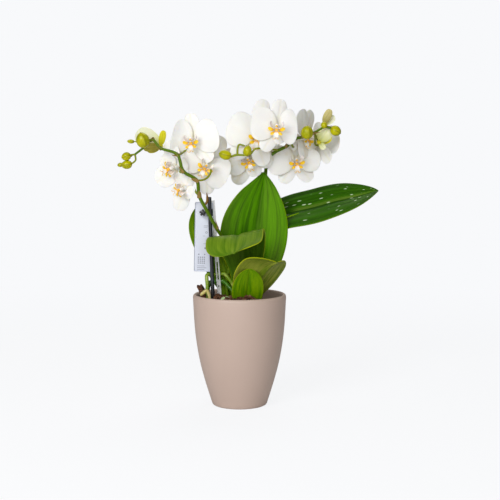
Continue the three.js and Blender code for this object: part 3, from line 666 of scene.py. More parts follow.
class Spline:
    """A smooth curve through points, centripetal so that it never overshoots."""

    DIVISIONS = 200

    def __init__(self, points: Sequence[Sequence[float]]) -> None:
        """Takes the points, and measures the curve."""
        self.points = [Vector(p[:3]) for p in points]
        steps = [self.at(i / self.DIVISIONS) for i in range(self.DIVISIONS + 1)]
        self.lengths = [0.0]
        for a, b in zip(steps, steps[1:]):
            self.lengths.append(self.lengths[-1] + (b - a).length)

    def at(self, t: float) -> Vector:
        """Returns the point at t, where each span takes an equal share of 0 to 1."""
        spans = len(self.points) - 1
        k = min(int(t * spans), spans - 1)
        weight = t * spans - k
        b, c = self.points[k], self.points[k + 1]
        a = self.points[k - 1] if k > 0 else 2 * b - c
        d = self.points[k + 2] if k + 2 <= spans else 2 * c - b
        da, db, dc = (max((q - p).length, 1e-8) ** 0.5 for p, q in ((a, b), (b, c), (c, d)))
        start = ((b - a) / da - (c - a) / (da + db) + (c - b) / db) * db
        end = ((c - b) / db - (d - b) / (db + dc) + (d - c) / dc) * db
        w = weight
        return b + start * w + (3 * (c - b) - 2 * start - end) * w * w + (2 * (b - c) + start + end) * w**3

    def share(self, s: float) -> float:
        """Returns the t at which the share s of the length is passed."""
        goal = s * self.lengths[-1]
        k = 0
        while k < self.DIVISIONS - 1 and self.lengths[k + 1] < goal:
            k += 1
        step = self.lengths[k + 1] - self.lengths[k]
        return (k + (goal - self.lengths[k]) / max(step, 1e-9)) / self.DIVISIONS

    def heading(self, s: float) -> Vector:
        """Returns the direction at the share s of the length."""
        low, high = max(s - 1e-4, 0.0), min(s + 1e-4, 1.0)
        return (self.at(self.share(high)) - self.at(self.share(low))).normalized()


@dataclass(frozen=True)
class Ring:
    """One cross-section of a tube: its centre, radius and two directions across."""

    centre: Vector
    radius: float
    across: Vector
    third: Vector


def tube_rings(stations: Sequence[Sequence[float]], per_span: int, tip: float) -> list[Ring]:
    """Works out a tube's rings, with rounded ends.

    Args:
        stations: x, y, z and radius of each station.
        per_span: how many rings lie from one station to the next.
        tip: how far its ends stand out, in radii.

    Returns:
        The rings from end to end.
    """
    curve = Spline(stations)
    spans = len(stations) - 1
    centres: list[Vector] = []
    radii: list[float] = []
    for i in range(spans * per_span + 1):
        at = i / per_span
        k = min(int(at), spans - 1)
        centres.append(curve.at(at / spans))
        radii.append(stations[k][3] + (stations[k + 1][3] - stations[k][3]) * (at - k))
    start, end = (centres[0] - centres[1]).normalized(), (centres[-1] - centres[-2]).normalized()
    caps = [(math.sqrt(1 - s * s), s) for s in ROUNDING]
    centres = (
        [centres[0] + start * radii[0] * tip * c for c, _ in caps]
        + centres
        + [centres[-1] + end * radii[-1] * tip * c for c, _ in reversed(caps)]
    )
    radii = [radii[0] * s for _, s in caps] + radii + [radii[-1] * s for _, s in reversed(caps)]
    rings: list[Ring] = []
    across = Vector((1, 0, 0))
    for i, (centre, radius) in enumerate(zip(centres, radii)):
        along = (centres[min(i + 1, len(centres) - 1)] - centres[max(i - 1, 0)]).normalized()
        if i == 0:
            across = (Vector((1, 0, 0)) if abs(along.x) < 0.8 else Vector((0, 1, 0))).cross(along)
        across = (across - along * across.dot(along)).normalized()
        rings.append(Ring(centre, radius, across, along.cross(across)))
    return rings


def tube(
    name: str,
    stations: Sequence[Sequence[float]],
    sides: int,
    per_span: int,
    swell: Callable[[float, Vector], float] | None = None,
    tip: float = 1.0,
) -> bpy.types.Object:
    """Rolls a sheet into a closed tube.

    Args:
        name: the piece's name.
        stations: x, y, z and radius of each station.
        sides: faces round it.
        per_span: rings from one station to the next.
        swell: a factor on the radius, from the angle round it and the ring's centre.
        tip: how far its ends stand out, in radii.

    Returns:
        The closed tube.
    """
    rings = tube_rings(stations, per_span, tip)
    last = len(rings) - 1

    def place(u: float, v: float) -> Vector:
        """Returns a point of the tube's skin."""
        ring = rings[round(v * last)]
        angle = TURN * round(u * sides) / sides
        radius = ring.radius * (swell(angle, ring.centre) if swell else 1)
        return ring.centre + (ring.across * math.cos(angle) + ring.third * math.sin(angle)) * radius

    piece = sheet(name, last, sides, place)
    mend(piece)
    return piece


def turned(name: str, outline: Sequence[tuple[float, float]], sides: int) -> bpy.types.Object:
    """Raises a closed body of revolution from a disc, ring by ring.

    Args:
        name: the piece's name.
        outline: radius and height of each ring; the first and last rings are filled.
        sides: faces round it.

    Returns:
        The body.
    """
    radius, height = outline[0]
    bpy.ops.mesh.primitive_circle_add(
        vertices=sides, radius=radius * MM, fill_type="NGON", location=(0, 0, height * MM)
    )
    piece = named(name)
    bpy.ops.object.transform_apply(location=True, rotation=True, scale=True)
    with editing():
        for (r0, z0), (r1, z1) in zip(outline, outline[1:]):
            bpy.ops.mesh.extrude_region_move(TRANSFORM_OT_translate={"value": (0, 0, (z1 - z0) * MM)})
            bpy.ops.transform.resize(value=(r1 / r0, r1 / r0, 1), center_override=(0, 0, z1 * MM))
        bpy.ops.mesh.select_all(action="SELECT")
        bpy.ops.mesh.normals_make_consistent(inside=False)
    return piece


class Slot(Enum):
    """The record's material slots."""

    POT = "pot_glaze"
    CLEAR = "clear_plastic"
    BARK = "bark"
    CROWN = "crown_green"
    STAKE = "stake_plastic"
    CLIP = "clip_plastic"
    PICK = "pick_plastic"
    CARD = "label_card"
    SPIKE = "spike_green"
    OPENING = "opening_petal"
    ROOT = "root_green"
    LEAF = "leaf_green"
    LIP = "lip_yellow"
    PETAL = "petal_white"


def hand_over(piece: bpy.types.Object, slot: Slot, *nodes: str) -> None:
    """Sets a finished piece on the object.

    Args:
        piece: the piece.
        slot: the record's slot its finish belongs to.
        nodes: the CAD nodes it stands for.
    """
    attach(piece, "root")
    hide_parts(*nodes)
    log.info("%s: %d faces, slot %s, for %s", piece.name, len(piece.data.polygons), slot.value, nodes)


# ------------------------------------------------------------------ pot and bark


@dataclass(frozen=True)
class Pot:
    """The tapered ceramic pot, turned from its outline of radii and heights."""

    height: float = 126.0
    lip_foot: float = 122.6
    foot_radius: float = 29.6
    floor: float = 6.0
    sides: int = 128
    wall: tuple[tuple[float, float], ...] = (
        (31.3, 1.8), (35.0, 13.4), (39.6, 28.7), (44.8, 49.0), (48.5, 69.6), (50.8, 90.0), (52.6, 122.4)
    )
    inside: tuple[tuple[float, float], ...] = (
        (48.1, 122.8), (46.2, 90.0), (43.9, 69.6), (40.2, 49.0), (34.9, 28.7), (30.0, 13.4), (27.0, 6.0)
    )

    def face(self, points: Sequence[tuple[float, float]], steps: int) -> list[tuple[float, float]]:
        """Returns one face of the wall, as a smooth run through its points."""
        curve = Spline([(radius, 0, z) for radius, z in points])
        run = [curve.at(step / steps) for step in range(steps + 1)]
        return [(p.x, p.z) for p in run]

    def outline(self) -> list[tuple[float, float]]:
        """Returns the outline: foot, outer wall, round lip, inner wall and floor."""
        outer, inner = self.wall[-1][0], self.inside[0][0]
        middle, half, rise = (outer + inner) / 2, (outer - inner) / 2, self.height - self.lip_foot
        angles = [math.pi * k / 12 for k in range(1, 12)]
        lip = [(middle + half * math.cos(a), self.lip_foot + rise * math.sin(a)) for a in angles]
        bevel = (self.foot_radius + 1.0, 0.6)
        foot = [(0.5, 0.0), (self.foot_radius * 0.7, 0.0), (self.foot_radius, 0.0), bevel]
        floor = [(26.0, self.floor - 0.1), (14.0, self.floor), (0.5, self.floor)]
        return foot + self.face(self.wall, 30) + lip + self.face(self.inside, 20) + floor

    def build(self) -> None:
        """Models the pot and dresses it."""
        piece = creased(turned("ceramic_pot", self.outline(), self.sides), 50)
        hand_over(dressed(piece, Glaze().material()), Slot.POT, "pot")


@dataclass(frozen=True)
class NurseryPot:
    """The clear ribbed pot that the plant grows in, inside the ceramic one."""

    floor: float = 6.3
    top: float = 114.0
    foot_radius: float = 24.5
    top_radius: float = 44.8
    lip_radius: float = 46.4
    lip_foot: float = 111.2
    wall: float = 1.0
    rib: float = 0.4
    pitch: float = 11.0
    sides: int = 96

    def radius(self, z: float) -> float:
        """Returns the outer radius at a height."""
        taper = (self.top_radius - self.foot_radius) * (z - self.floor) / (self.top - self.floor)
        return self.foot_radius + taper

    def build(self) -> None:
        """Models the pot with its rolled lip."""
        heights = [self.floor + 1.5 + k * self.pitch for k in range(10)]
        outer = [(self.radius(z) - (self.rib if k % 2 else 0.0), z) for k, z in enumerate(heights)]
        lip = [
            (self.radius(110.5), 110.6), (self.lip_radius - 0.3, self.lip_foot),
            (self.lip_radius, self.lip_foot + 0.5), (self.lip_radius, self.top - 0.4),
            (self.lip_radius - 0.4, self.top), (self.radius(self.top) - self.wall, self.top),
        ]
        inner = [(radius - self.wall, z) for radius, z in reversed(outer)]
        inside = self.floor + self.wall
        foot = [(0.5, self.floor), (self.foot_radius - 1, self.floor)]
        base = [(self.foot_radius - 1.6, inside), (0.5, inside)]
        piece = creased(turned("nursery_pot", foot + outer + lip + inner + base, self.sides), 40)
        plastic = ClearPlastic("nursery_plastic", srgb(196, 196, 190), 0.55)
        hand_over(dressed(piece, plastic.material()), Slot.CLEAR, "grow_pot")


@dataclass(frozen=True)
class BarkMix:
    """The potting bark: a lumpy bed with loose chips on it."""

    top_radius: float = 43.0
    level: float = 113.6
    rough_from: float = 112.0
    count: int = 150
    front_count: int = 14
    shapes: int = 7
    seed: int = 20240611
    rings: tuple[float, ...] = (41.5, 38, 33, 27, 20, 13, 6, 0.5)

    def mound(self, x: float, y: float) -> float:
        """Returns how high the bark lies at a place: heaped at the front left and the front."""
        heap = 11.0 * math.exp(-((x + 20) ** 2 + (y + 26) ** 2) / 420)
        front = 10.0 * math.exp(-((x - 2) ** 2 + (y + 39) ** 2) / 200)
        return self.level + max(heap, front) - (2.0 if x > 18 else 0.0)

    def bed(self) -> bpy.types.Object:
        """Returns the bed: a turned body with a rough top."""
        pot = NurseryPot()
        side = [(pot.radius(z) - pot.wall - 0.5, z) for z in (8.5, 30.0, 60.0, 90.0, 110.0)]
        top = [(radius, self.level) for radius in self.rings]
        piece = turned("bark_bed", [(0.5, 7.8), (side[0][0] - 1, 7.8), *side, *top], 72)
        for vertex in piece.data.vertices:
            p = vertex.co / MM
            if p.z > self.rough_from:
                lump = noise.noise(p * 0.18) * 3.2 + noise.noise(p * 0.5) * 1.2
                vertex.co.z = (self.mound(p.x, p.y) - 2.5 + lump) * MM
        return creased(piece, 35)

    def chip(self, index: int, rand: random.Random) -> bpy.types.Object:
        """Returns one chip shape at the origin: a split block with broken ends."""
        piece = cube(f"chip_shape_{index}")
        size = Vector((rand.uniform(8, 14), rand.uniform(5, 9), rand.uniform(2.6, 4.6)))
        only(piece)
        with editing():
            bpy.ops.mesh.subdivide(number_cuts=3)
        shift = Vector((rand.uniform(0, 90), rand.uniform(0, 90), 0))
        for vertex in piece.data.vertices:
            c = vertex.co
            rough = noise.noise_vector(c * 2.1 + shift) * 0.22 + noise.noise_vector(c * 5.0 + shift) * 0.09
            taper = 1 - 0.35 * abs(c.x)
            split = (c.x + rough.x, c.y * taper + rough.y, c.z * taper + rough.z)
            vertex.co = Vector([share * length for share, length in zip(split, size)]) * MM
        return bevelled(piece, 0.35, 1, 35)

    def tumbled(self, rand: random.Random) -> Matrix:
        """Returns the turn of a chip that lies any way round and leans a little."""
        turn = Matrix.Rotation(rand.uniform(0, 6.28), 4, "Z") @ Matrix.Rotation(rand.gauss(0, 0.4), 4, "X")
        return turn @ Matrix.Rotation(rand.gauss(0, 0.35), 4, "Y")

    def laid(
        self, shape: bpy.types.Object, spot: Sequence[float], turn: Matrix, size: float = 1.0
    ) -> bpy.types.Object:
        """Returns a copy of a chip shape, sized, turned and moved to its spot."""
        copy = shape.copy()
        copy.data = copy.data.copy()
        bpy.context.scene.collection.objects.link(copy)
        copy.data.transform(Matrix.Translation(Vector(spot) * MM) @ turn @ Matrix.Scale(size, 4))
        return copy

    def pointed(self, shape: bpy.types.Object) -> bpy.types.Object:
        """Returns the tall chip that stands at the left."""
        reach = max(v.co.x for v in shape.data.vertices) * 2
        turn = Matrix.Rotation(math.radians(66), 4, "Y")
        return self.laid(shape, (-40.2, -10, 126.5), turn, 26 * MM / reach)

    def build(self) -> None:
        """Models the bed, scatters copies of the chips and dresses them all."""
        rand = random.Random(self.seed)
        noise.seed_set(self.seed)  # the chips' noise differs from run to run without it
        shapes = [self.chip(k, rand) for k in range(self.shapes)]
        parts = [self.bed()]
        for k in range(self.count):
            angle, out = rand.uniform(0, TURN), self.top_radius * math.sqrt(rand.random()) * 0.9
            x, y = out * math.cos(angle), out * math.sin(angle)
            turn = self.tumbled(rand)
            rise = rand.uniform(-0.5, 2.4)
            parts.append(self.laid(shapes[k % self.shapes], (x, y, self.mound(x, y) + rise), turn))
        for k in range(self.front_count):
            angle, out = math.radians(rand.uniform(-93, -60)), rand.uniform(38.5, 42)
            spot = (out * math.cos(angle), out * math.sin(angle), rand.uniform(121.5, 125.6))
            parts.append(self.laid(shapes[k % self.shapes], spot, self.tumbled(rand)))
        parts.append(self.pointed(shapes[0]))
        for shape in shapes:
            bpy.data.objects.remove(shape)
        piece = joined("bark_chips", parts)
        hand_over(dressed(piece, BarkGrain().material()), Slot.BARK, "bark_mix")


# ------------------------------------------------------------------ crown and roots


CROWN = ((0, 0, 100, 7.5), (0, 0, 112, 8), (0.5, 1, 124, 7.5), (1, 2, 134, 5), (1.5, 3, 139, 2.4))
ROOTS = {
    "root_loop": (
        RootSkin("root_lime", srgb(112, 146, 12), srgb(184, 196, 92), 0.28),
        (
            (-5.4, -6, 131, 1.9), (-7.5, -8, 137.4, 2.0), (-12.6, -8, 144.9, 2.0), (-16.9, -7, 149.3, 1.9),
            (-20.9, -5.6, 149.3, 1.5), (-26.4, -6, 148.6, 1.5), (-31.9, -9, 149.4, 1.7),
            (-36.2, -12, 148.6, 2.0), (-36.4, -14, 144.2, 2.1), (-35.8, -15.2, 138, 2.0),
            (-36.6, -16, 126, 2.0), (-36, -16, 111.5, 2.0),
        ),
    ),
    "root_low": (
        RootSkin("root_dark", srgb(58, 110, 8), srgb(120, 160, 50), 0.2),
        (
            (-5.6, -9, 122, 2.0), (-8.2, -13, 131.4, 2.1), (-11.3, -11.6, 134.9, 2.2),
            (-15.3, -8.2, 139, 2.4), (-18.8, -5.6, 140.9, 2.8), (-23.1, -4.6, 140.6, 3.0),
            (-28.6, -5.4, 140.6, 2.9), (-33.2, -7.4, 139, 2.6), (-35.6, -7.8, 132, 2.3),
            (-35, -8, 122, 2.2), (-34, -8, 111.5, 2.2),
        ),
    ),
    "root_pale": (
        RootSkin("root_tan", srgb(190, 176, 96), srgb(216, 205, 150), 0.4),
        (
            (-32.5, -26, 117, 1.6), (-33.6, -27, 129, 1.8), (-36.2, -27.4, 133.4, 1.8),
            (-39.4, -27, 131, 2.0), (-42, -25.4, 128.8, 1.7),
        ),
    ),
    "root_tip": (
        RootSkin("root_silver", srgb(140, 176, 96), srgb(205, 222, 186), 0.5),
        (
            (-6, -29.6, 112.5, 1.8), (-8.6, -31.2, 121.4, 2.0), (-13, -32.4, 124.8, 2.7),
            (-17, -32.6, 125.0, 2.5), (-20.4, -32.2, 121, 1.9), (-21.2, -31.2, 112.5, 1.8),
        ),
    ),
}


class Roots:
    """The crown and the four air roots over the bark."""

    def uneven(self, angle: float, centre: Vector) -> float:
        """Returns the knobbly swell of a root."""
        round_it = Vector((math.cos(angle), math.sin(angle), 0))
        return 1 + 0.09 * noise.noise(centre * 0.22 + round_it * 0.6)

    def build(self) -> None:
        """Models the crown and the roots."""
        crown = mark(smoothed(tube("plant_crown", CROWN, 28, 6)), "aged", 0.4)
        skin = StemSkin("crown_skin", srgb(50, 84, 10), srgb(110, 140, 40), srgb(120, 100, 50))
        hand_over(dressed(crown, skin.material()), Slot.CROWN, "crown")
        for name, (skin, stations) in ROOTS.items():
            piece = smoothed(tube(f"{name}_skin", stations, 18, 7, self.uneven))
            hand_over(dressed(piece, skin.material()), Slot.ROOT, name)


# ------------------------------------------------------------------ stakes, clips and label


@dataclass(frozen=True)
class Stake:
    """A round support stake."""

    name: str
    foot: Point
    top: Point
    radius: float

    def at(self, z: float) -> Vector:
        """Returns the stake's middle at a height."""
        foot, top = Vector(self.foot), Vector(self.top)
        return foot.lerp(top, (z - foot.z) / (top.z - foot.z))

    def build(self) -> None:
        """Models the stake: a rod with two mould lines and a rounded top."""

        def moulded(angle: float, centre: Vector) -> float:
            """Returns the swell of the two mould lines."""
            return 1 + 0.035 * max(0.0, abs(math.cos(angle)) - 0.9) * 10

        tall = self.top[2] - self.foot[2]
        heights = [self.foot[2] + tall * k / 8 - 0.6 for k in range(9)]
        stations = [(*self.at(z), self.radius) for z in heights]
        piece = creased(tube(f"{self.name}_rod", stations, 36, 3, moulded, 0.35), 50)
        plastic = DarkPlastic(f"{self.name}_plastic", srgb(24, 27, 34), srgb(58, 66, 80), 0.22)
        hand_over(dressed(piece, plastic.material()), Slot.STAKE, self.name)


@dataclass(frozen=True)
class Clip:
    """A spring clip: a sleeve on its stake and a lobed knob beside it."""

    name: str
    stake: Stake
    height: float
    knob: Point
    radius: float
    length: float
    lobes: int = 5
    sleeve: float = 3.8  # half of the sleeve's length

    def rod(self, start: Vector, end: Vector, radius: float, sides: int) -> bpy.types.Object:
        """Returns a bevelled rod from start to end."""
        span = end - start
        bpy.ops.mesh.primitive_cylinder_add(vertices=sides, radius=radius * MM, depth=span.length * MM)
        piece = named("clip_rod")
        aim = span.to_track_quat("Z", "Y").to_matrix().to_4x4()
        piece.data.transform(Matrix.Translation((start + end) / 2 * MM) @ aim)
        return bevelled(piece, 0.3, 2, 50)

    def build(self) -> None:
        """Models the clip."""
        knob, centre = Vector(self.knob), self.stake.at(self.height)
        aim = (Vector(self.stake.top) - Vector(self.stake.foot)).normalized()
        reach = Vector((0, self.length / 2, 0))
        radius = self.stake.radius + 1.0
        stations = [(*(centre + aim * d), radius) for d in (-self.sleeve, 0, self.sleeve)]
        parts = [tube("clip_sleeve", stations, 32, 3, None, 0.12)]
        parts.append(self.rod(knob - reach * 1.1, knob + reach * 1.1, 0.62 * self.radius, 24))
        for k in range(self.lobes):
            angle = k / self.lobes * TURN + 0.3
            lobe = knob + Vector((math.cos(angle), 0, math.sin(angle))) * self.radius * 0.7
            parts.append(self.rod(lobe - reach, lobe + reach, 0.36 * self.radius, 12))
        parts.append(self.rod(knob, centre.lerp(knob, 0.25), 1.3, 12))
        piece = creased(joined(f"{self.name}_body", parts), 40)
        plastic = DarkPlastic(f"{self.name}_plastic", srgb(14, 14, 18), srgb(40, 42, 50), 0.18)
        hand_over(dressed(piece, plastic.material()), Slot.CLIP, self.name)


@dataclass(frozen=True)
class Label:
    """The plant label: a clear forked pick and a card with a plain generic print."""

    thick: float = 0.8
    width: float = 4.6
    y: float = -9.2
    foot: tuple[float, float] = (-20.6, 100.0)
    top: tuple[float, float] = (-29.8, 232.0)
    fork: Point = (-13.0, 1.5, 20.0)  # its middle along the pick, its width and its length
    hole: tuple[float, float] = (-30.0, 0.8)  # its place along the pick, and its radius
    through: float = 4.0  # the depth of the cuts, more than the pick is thick
    card_size: Point = (20.4, 0.5, 77.5)
    card_at: Point = (-39.9, -10.2, 191.3)
    card_tilt: float = 1.3
    print_height: float = 0.08

    def block(self, size: Sequence[float], z: float) -> bpy.types.Object:
        """Returns a block of a size in millimetres, at a height."""
        piece = cube("label_block")
        sizes = Matrix.Diagonal((*(s * MM for s in size), 1))
        piece.data.transform(Matrix.Translation(Vector((0, 0, z)) * MM) @ sizes)
        return piece

    def pick(self) -> bpy.types.Object:
        """Returns the pick: a flat strip cut by its fork and its hole."""
        (x0, z0), (x1, z1) = self.foot, self.top
        run = Vector((x1 - x0, 0, z1 - z0))
        strip = bevelled(self.block((self.width, self.thick, run.length), 0), 0.25, 3, 30)
        place, wide, tall = self.fork
        cuts = [self.block((wide, self.through, tall), place)]
        bpy.ops.mesh.primitive_cylinder_add(
            vertices=24, radius=self.hole[1] * MM, depth=self.through * MM,
            location=(0, 0, self.hole[0] * MM), rotation=(QUARTER, 0, 0),
        )
        cuts.append(named("pick_hole"))
        for cut in cuts:
            modify(strip, "BOOLEAN", operation="DIFFERENCE", object=cut, solver="EXACT")
            bpy.data.objects.remove(cut)
        lean = Matrix.Rotation(math.atan2(run.x, run.z), 4, "Y")
        middle = Vector(((x0 + x1) / 2, self.y, (z0 + z1) / 2))
        strip.data.transform(Matrix.Translation(middle * MM) @ lean)
        strip.name = "label_pick_strip"
        return strip

    def card(self) -> bpy.types.Object:
        """Returns the card, with rounded corners."""
        wide, deep, tall = self.card_size
        piece = cube("label_card_sheet")
        piece.data.transform(Matrix.Diagonal((wide * MM, deep * MM, tall * MM, 1)))
        with editing():
            bpy.ops.mesh.select_all(action="DESELECT")
        for edge in piece.data.edges:
            a, b = (piece.data.vertices[i].co for i in edge.vertices)
            edge.select = abs(a.y - b.y) > deep * MM / 2
        bpy.ops.object.mode_set(mode="EDIT")
        bpy.ops.mesh.select_mode(type="EDGE")
        bpy.ops.mesh.bevel(offset=1.6 * MM, segments=6)
        bpy.ops.object.mode_set(mode="OBJECT")
        bevelled(piece, 0.12, 2, 60).data.transform(self.stand())
        return piece

    def stand(self) -> Matrix:
        """Returns where the card stands."""
        tilt = Matrix.Rotation(math.radians(self.card_tilt), 4, "Y")
        return Matrix.Translation(Vector(self.card_at) * MM) @ tilt

    def printed(self, kind: str, x: float, z: float, wide: float, tall: float) -> bpy.types.Object:
        """Returns one raised mark of the print, on the card's face.

        Args:
            kind: a bar, disc, ring or drop.
            x: its place across the card.
            z: its height from the card's middle.
            wide: its width.
            tall: its height.

        Returns:
            The mark.
        """
        upright = (QUARTER, 0, 0)
        if kind == "bar":
            bpy.ops.mesh.primitive_cube_add(size=1)
        elif kind == "ring":
            bpy.ops.mesh.primitive_torus_add(
                major_radius=0.4, minor_radius=0.1, major_segments=24, minor_segments=8, rotation=upright
            )
        else:
            bpy.ops.mesh.primitive_cylinder_add(vertices=24, radius=0.5, depth=1, rotation=upright)
        bpy.ops.object.transform_apply(rotation=True)
        piece = named("print_mark")
        if kind == "drop":
            for vertex in piece.data.vertices:
                if vertex.co.z > 0:
                    vertex.co.x *= 1 - 1.9 * vertex.co.z
                    vertex.co.z *= 1.6
        face = -self.card_size[1] / 2 - 0.02
        size = Matrix.Diagonal((wide * MM, self.print_height * MM, tall * MM, 1))
        piece.data.transform(self.stand() @ Matrix.Translation(Vector((x, face, z)) * MM) @ size)
        return piece

    def layout(self) -> list[tuple[str, float, float, float, float]]:
        """Returns the print: the kind, place and size of every mark."""
        icons = (("ring", 3.0, 5.0), ("drop", 3.6, -4.0), ("ring", 2.2, -12.6), ("disc", 2.2, -12.6))
        return [
            *((kind, x, z, 2.4, 2.4) for kind, x, z in icons),
            *(("bar", 2.6 - 0.5 * k, 12.4 - 1.5 * k, 5.4 - k, 0.45) for k in range(2)),
            *(("bar", 0.4 + 0.8 * k, 1.0 - 8.6 * k, 2.6, 0.4) for k in range(2)),
            *(("disc", -5.0 + 6.6 * k, -19.6, 1.5, 1.5) for k in range(2)),
            *(("bar", -5.4 + 2.2 * (k % 4), -22.8 - 2.2 * (k // 4), 1.3, 1.3) for k in range(16)),
            *(("bar", -2.6 + k % 2, -32.6 - 2.0 * k, 8.2 + 2 * (k % 2), 0.5) for k in range(3)),
        ]

    def build(self) -> None:
        """Models the pick, the card and its plain print."""
        plastic = ClearPlastic("pick_plastic", srgb(214, 216, 218), 0.5, 900)
        hand_over(dressed(self.pick(), plastic.material()), Slot.PICK, "label_pick")
        stock = CardStock("card_stock", srgb(206, 212, 228), srgb(218, 222, 234))
        hand_over(dressed(creased(self.card(), 30), stock.material()), Slot.CARD, "label_card")
        prints = joined("label_print", [self.printed(*spec) for spec in self.layout()])
        ink = CardStock("print_ink", srgb(120, 124, 140), srgb(146, 150, 164))
        hand_over(dressed(prints, ink.material()), Slot.CARD, "label_card")


# ------------------------------------------------------------------ leaves


GREEN = (srgb(24, 76, 0), srgb(88, 154, 0), srgb(150, 180, 0))
DARK = (srgb(16, 60, 0), srgb(48, 104, 0), srgb(110, 140, 0))
LIME = (srgb(54, 104, 0), srgb(122, 156, 0), srgb(170, 184, 0))
OLIVE = (srgb(58, 104, 4), srgb(122, 150, 34), srgb(186, 196, 8))
BRONZE = (srgb(66, 108, 0), srgb(144, 158, 30), srgb(190, 196, 10))


@dataclass(frozen=True)
class Leaf:
    """One strap leaf, from the points of its rib."""

    name: str
    rib: tuple[Point, ...]
    half: float
    side: Point
    left: float
    right: float
    bend: float
    widest: float
    foot: float
    point: float
    blunt: float
    swell: float = 0.85
    thick: float = 1.3
    foot_side: Point | None = None
    turn: float = 0.45
    ease: float = 1.0
    right_end: float | None = None
    left_share: float = 1.0
    wave: float = 0.5
    pleats: float = 0.0
    tones: tuple[Colour, Colour, Colour] = GREEN  # deep, fresh and margin
    # the under face's deep and fresh tones; the dark default is painted shade, for the face turned away from
    # the light
    under: tuple[Colour, Colour] = (srgb(36, 76, 0), srgb(70, 112, 8))
    gloss: float = 0.25
    flecks: float = 0.0

    ROWS = 44
    COLS = 28
    GROOVE = -0.9
    PLEAT = -0.2

    def breadth(self, t: float) -> float:
        """Returns the half width at t along the leaf, as a share of the widest."""
        if t < self.widest:
            return self.foot + (1 - self.foot) * math.sin(QUARTER * t / self.widest) ** self.swell
        return max(0.0004, 1 - ((t - self.widest) / (1 - self.widest)) ** self.point) ** self.blunt

    def surface(self) -> Place:
        """Returns the middle surface: across and along the leaf to a point."""
        curve = Spline(self.rib)
        start, goal = Vector(self.foot_side or self.side), Vector(self.side)
        rows = []
        for i in range(self.ROWS + 1):
            t = (1 - math.cos(math.pi * i / self.ROWS)) / 2
            at, along = curve.at(curve.share(t)), curve.heading(t)
            side = start.lerp(goal, min(1.0, t / self.turn) ** self.ease)
            across = (side - along * side.dot(along)).normalized()
            rows.append((t, at, across, across.cross(along), self.half * self.breadth(t)))
        seed = sum(ord(c) for c in self.name)
        end = self.right if self.right_end is None else self.right_end

        def place(u: float, v: float) -> Vector:
            """Returns a point of the leaf."""
            t, at, across, up, half = rows[round(v * self.ROWS)]
            s = 2 * u - 1
            rise = math.radians(self.left if s < 0 else self.right + (end - self.right) * t)
            a = abs(s) * half * (self.left_share if s < 0 else 1)
            groove = self.GROOVE * math.exp(-((s / 0.09) ** 2)) * min(1.0, half / 12)
            ripple = self.wave * s * s * math.sin(7 * t + seed + 2 * s) * min(1.0, half / 15)
            pleat = 0.0
            if self.pleats:
                fade = math.sin(math.pi * t) ** 0.5
                pleat = self.PLEAT * math.cos(abs(s) * math.pi * self.pleats) * fade
            lift = a * math.sin(rise) - self.bend * a * a / self.half
            lift = lift + groove + ripple + pleat * (1 - s * s)
            return at + across * math.copysign(a * math.cos(rise), s) + up * lift

        return place

    def build(self) -> None:
        """Models the leaf and dresses both its faces."""
        upper = LeafSkin(f"{self.name}_upper", *self.tones, self.gloss, 0.3, self.pleats, self.flecks)
        under = LeafSkin(f"{self.name}_under", *self.under, self.tones[2])
        piece = sheet(f"{self.name}_blade", self.ROWS, self.COLS, self.surface())
        dressed(piece, upper.material(), under.material())
        thickened(piece, self.thick, use_even_offset=False, material_offset=1)
        hand_over(piece, Slot.LEAF, self.name)


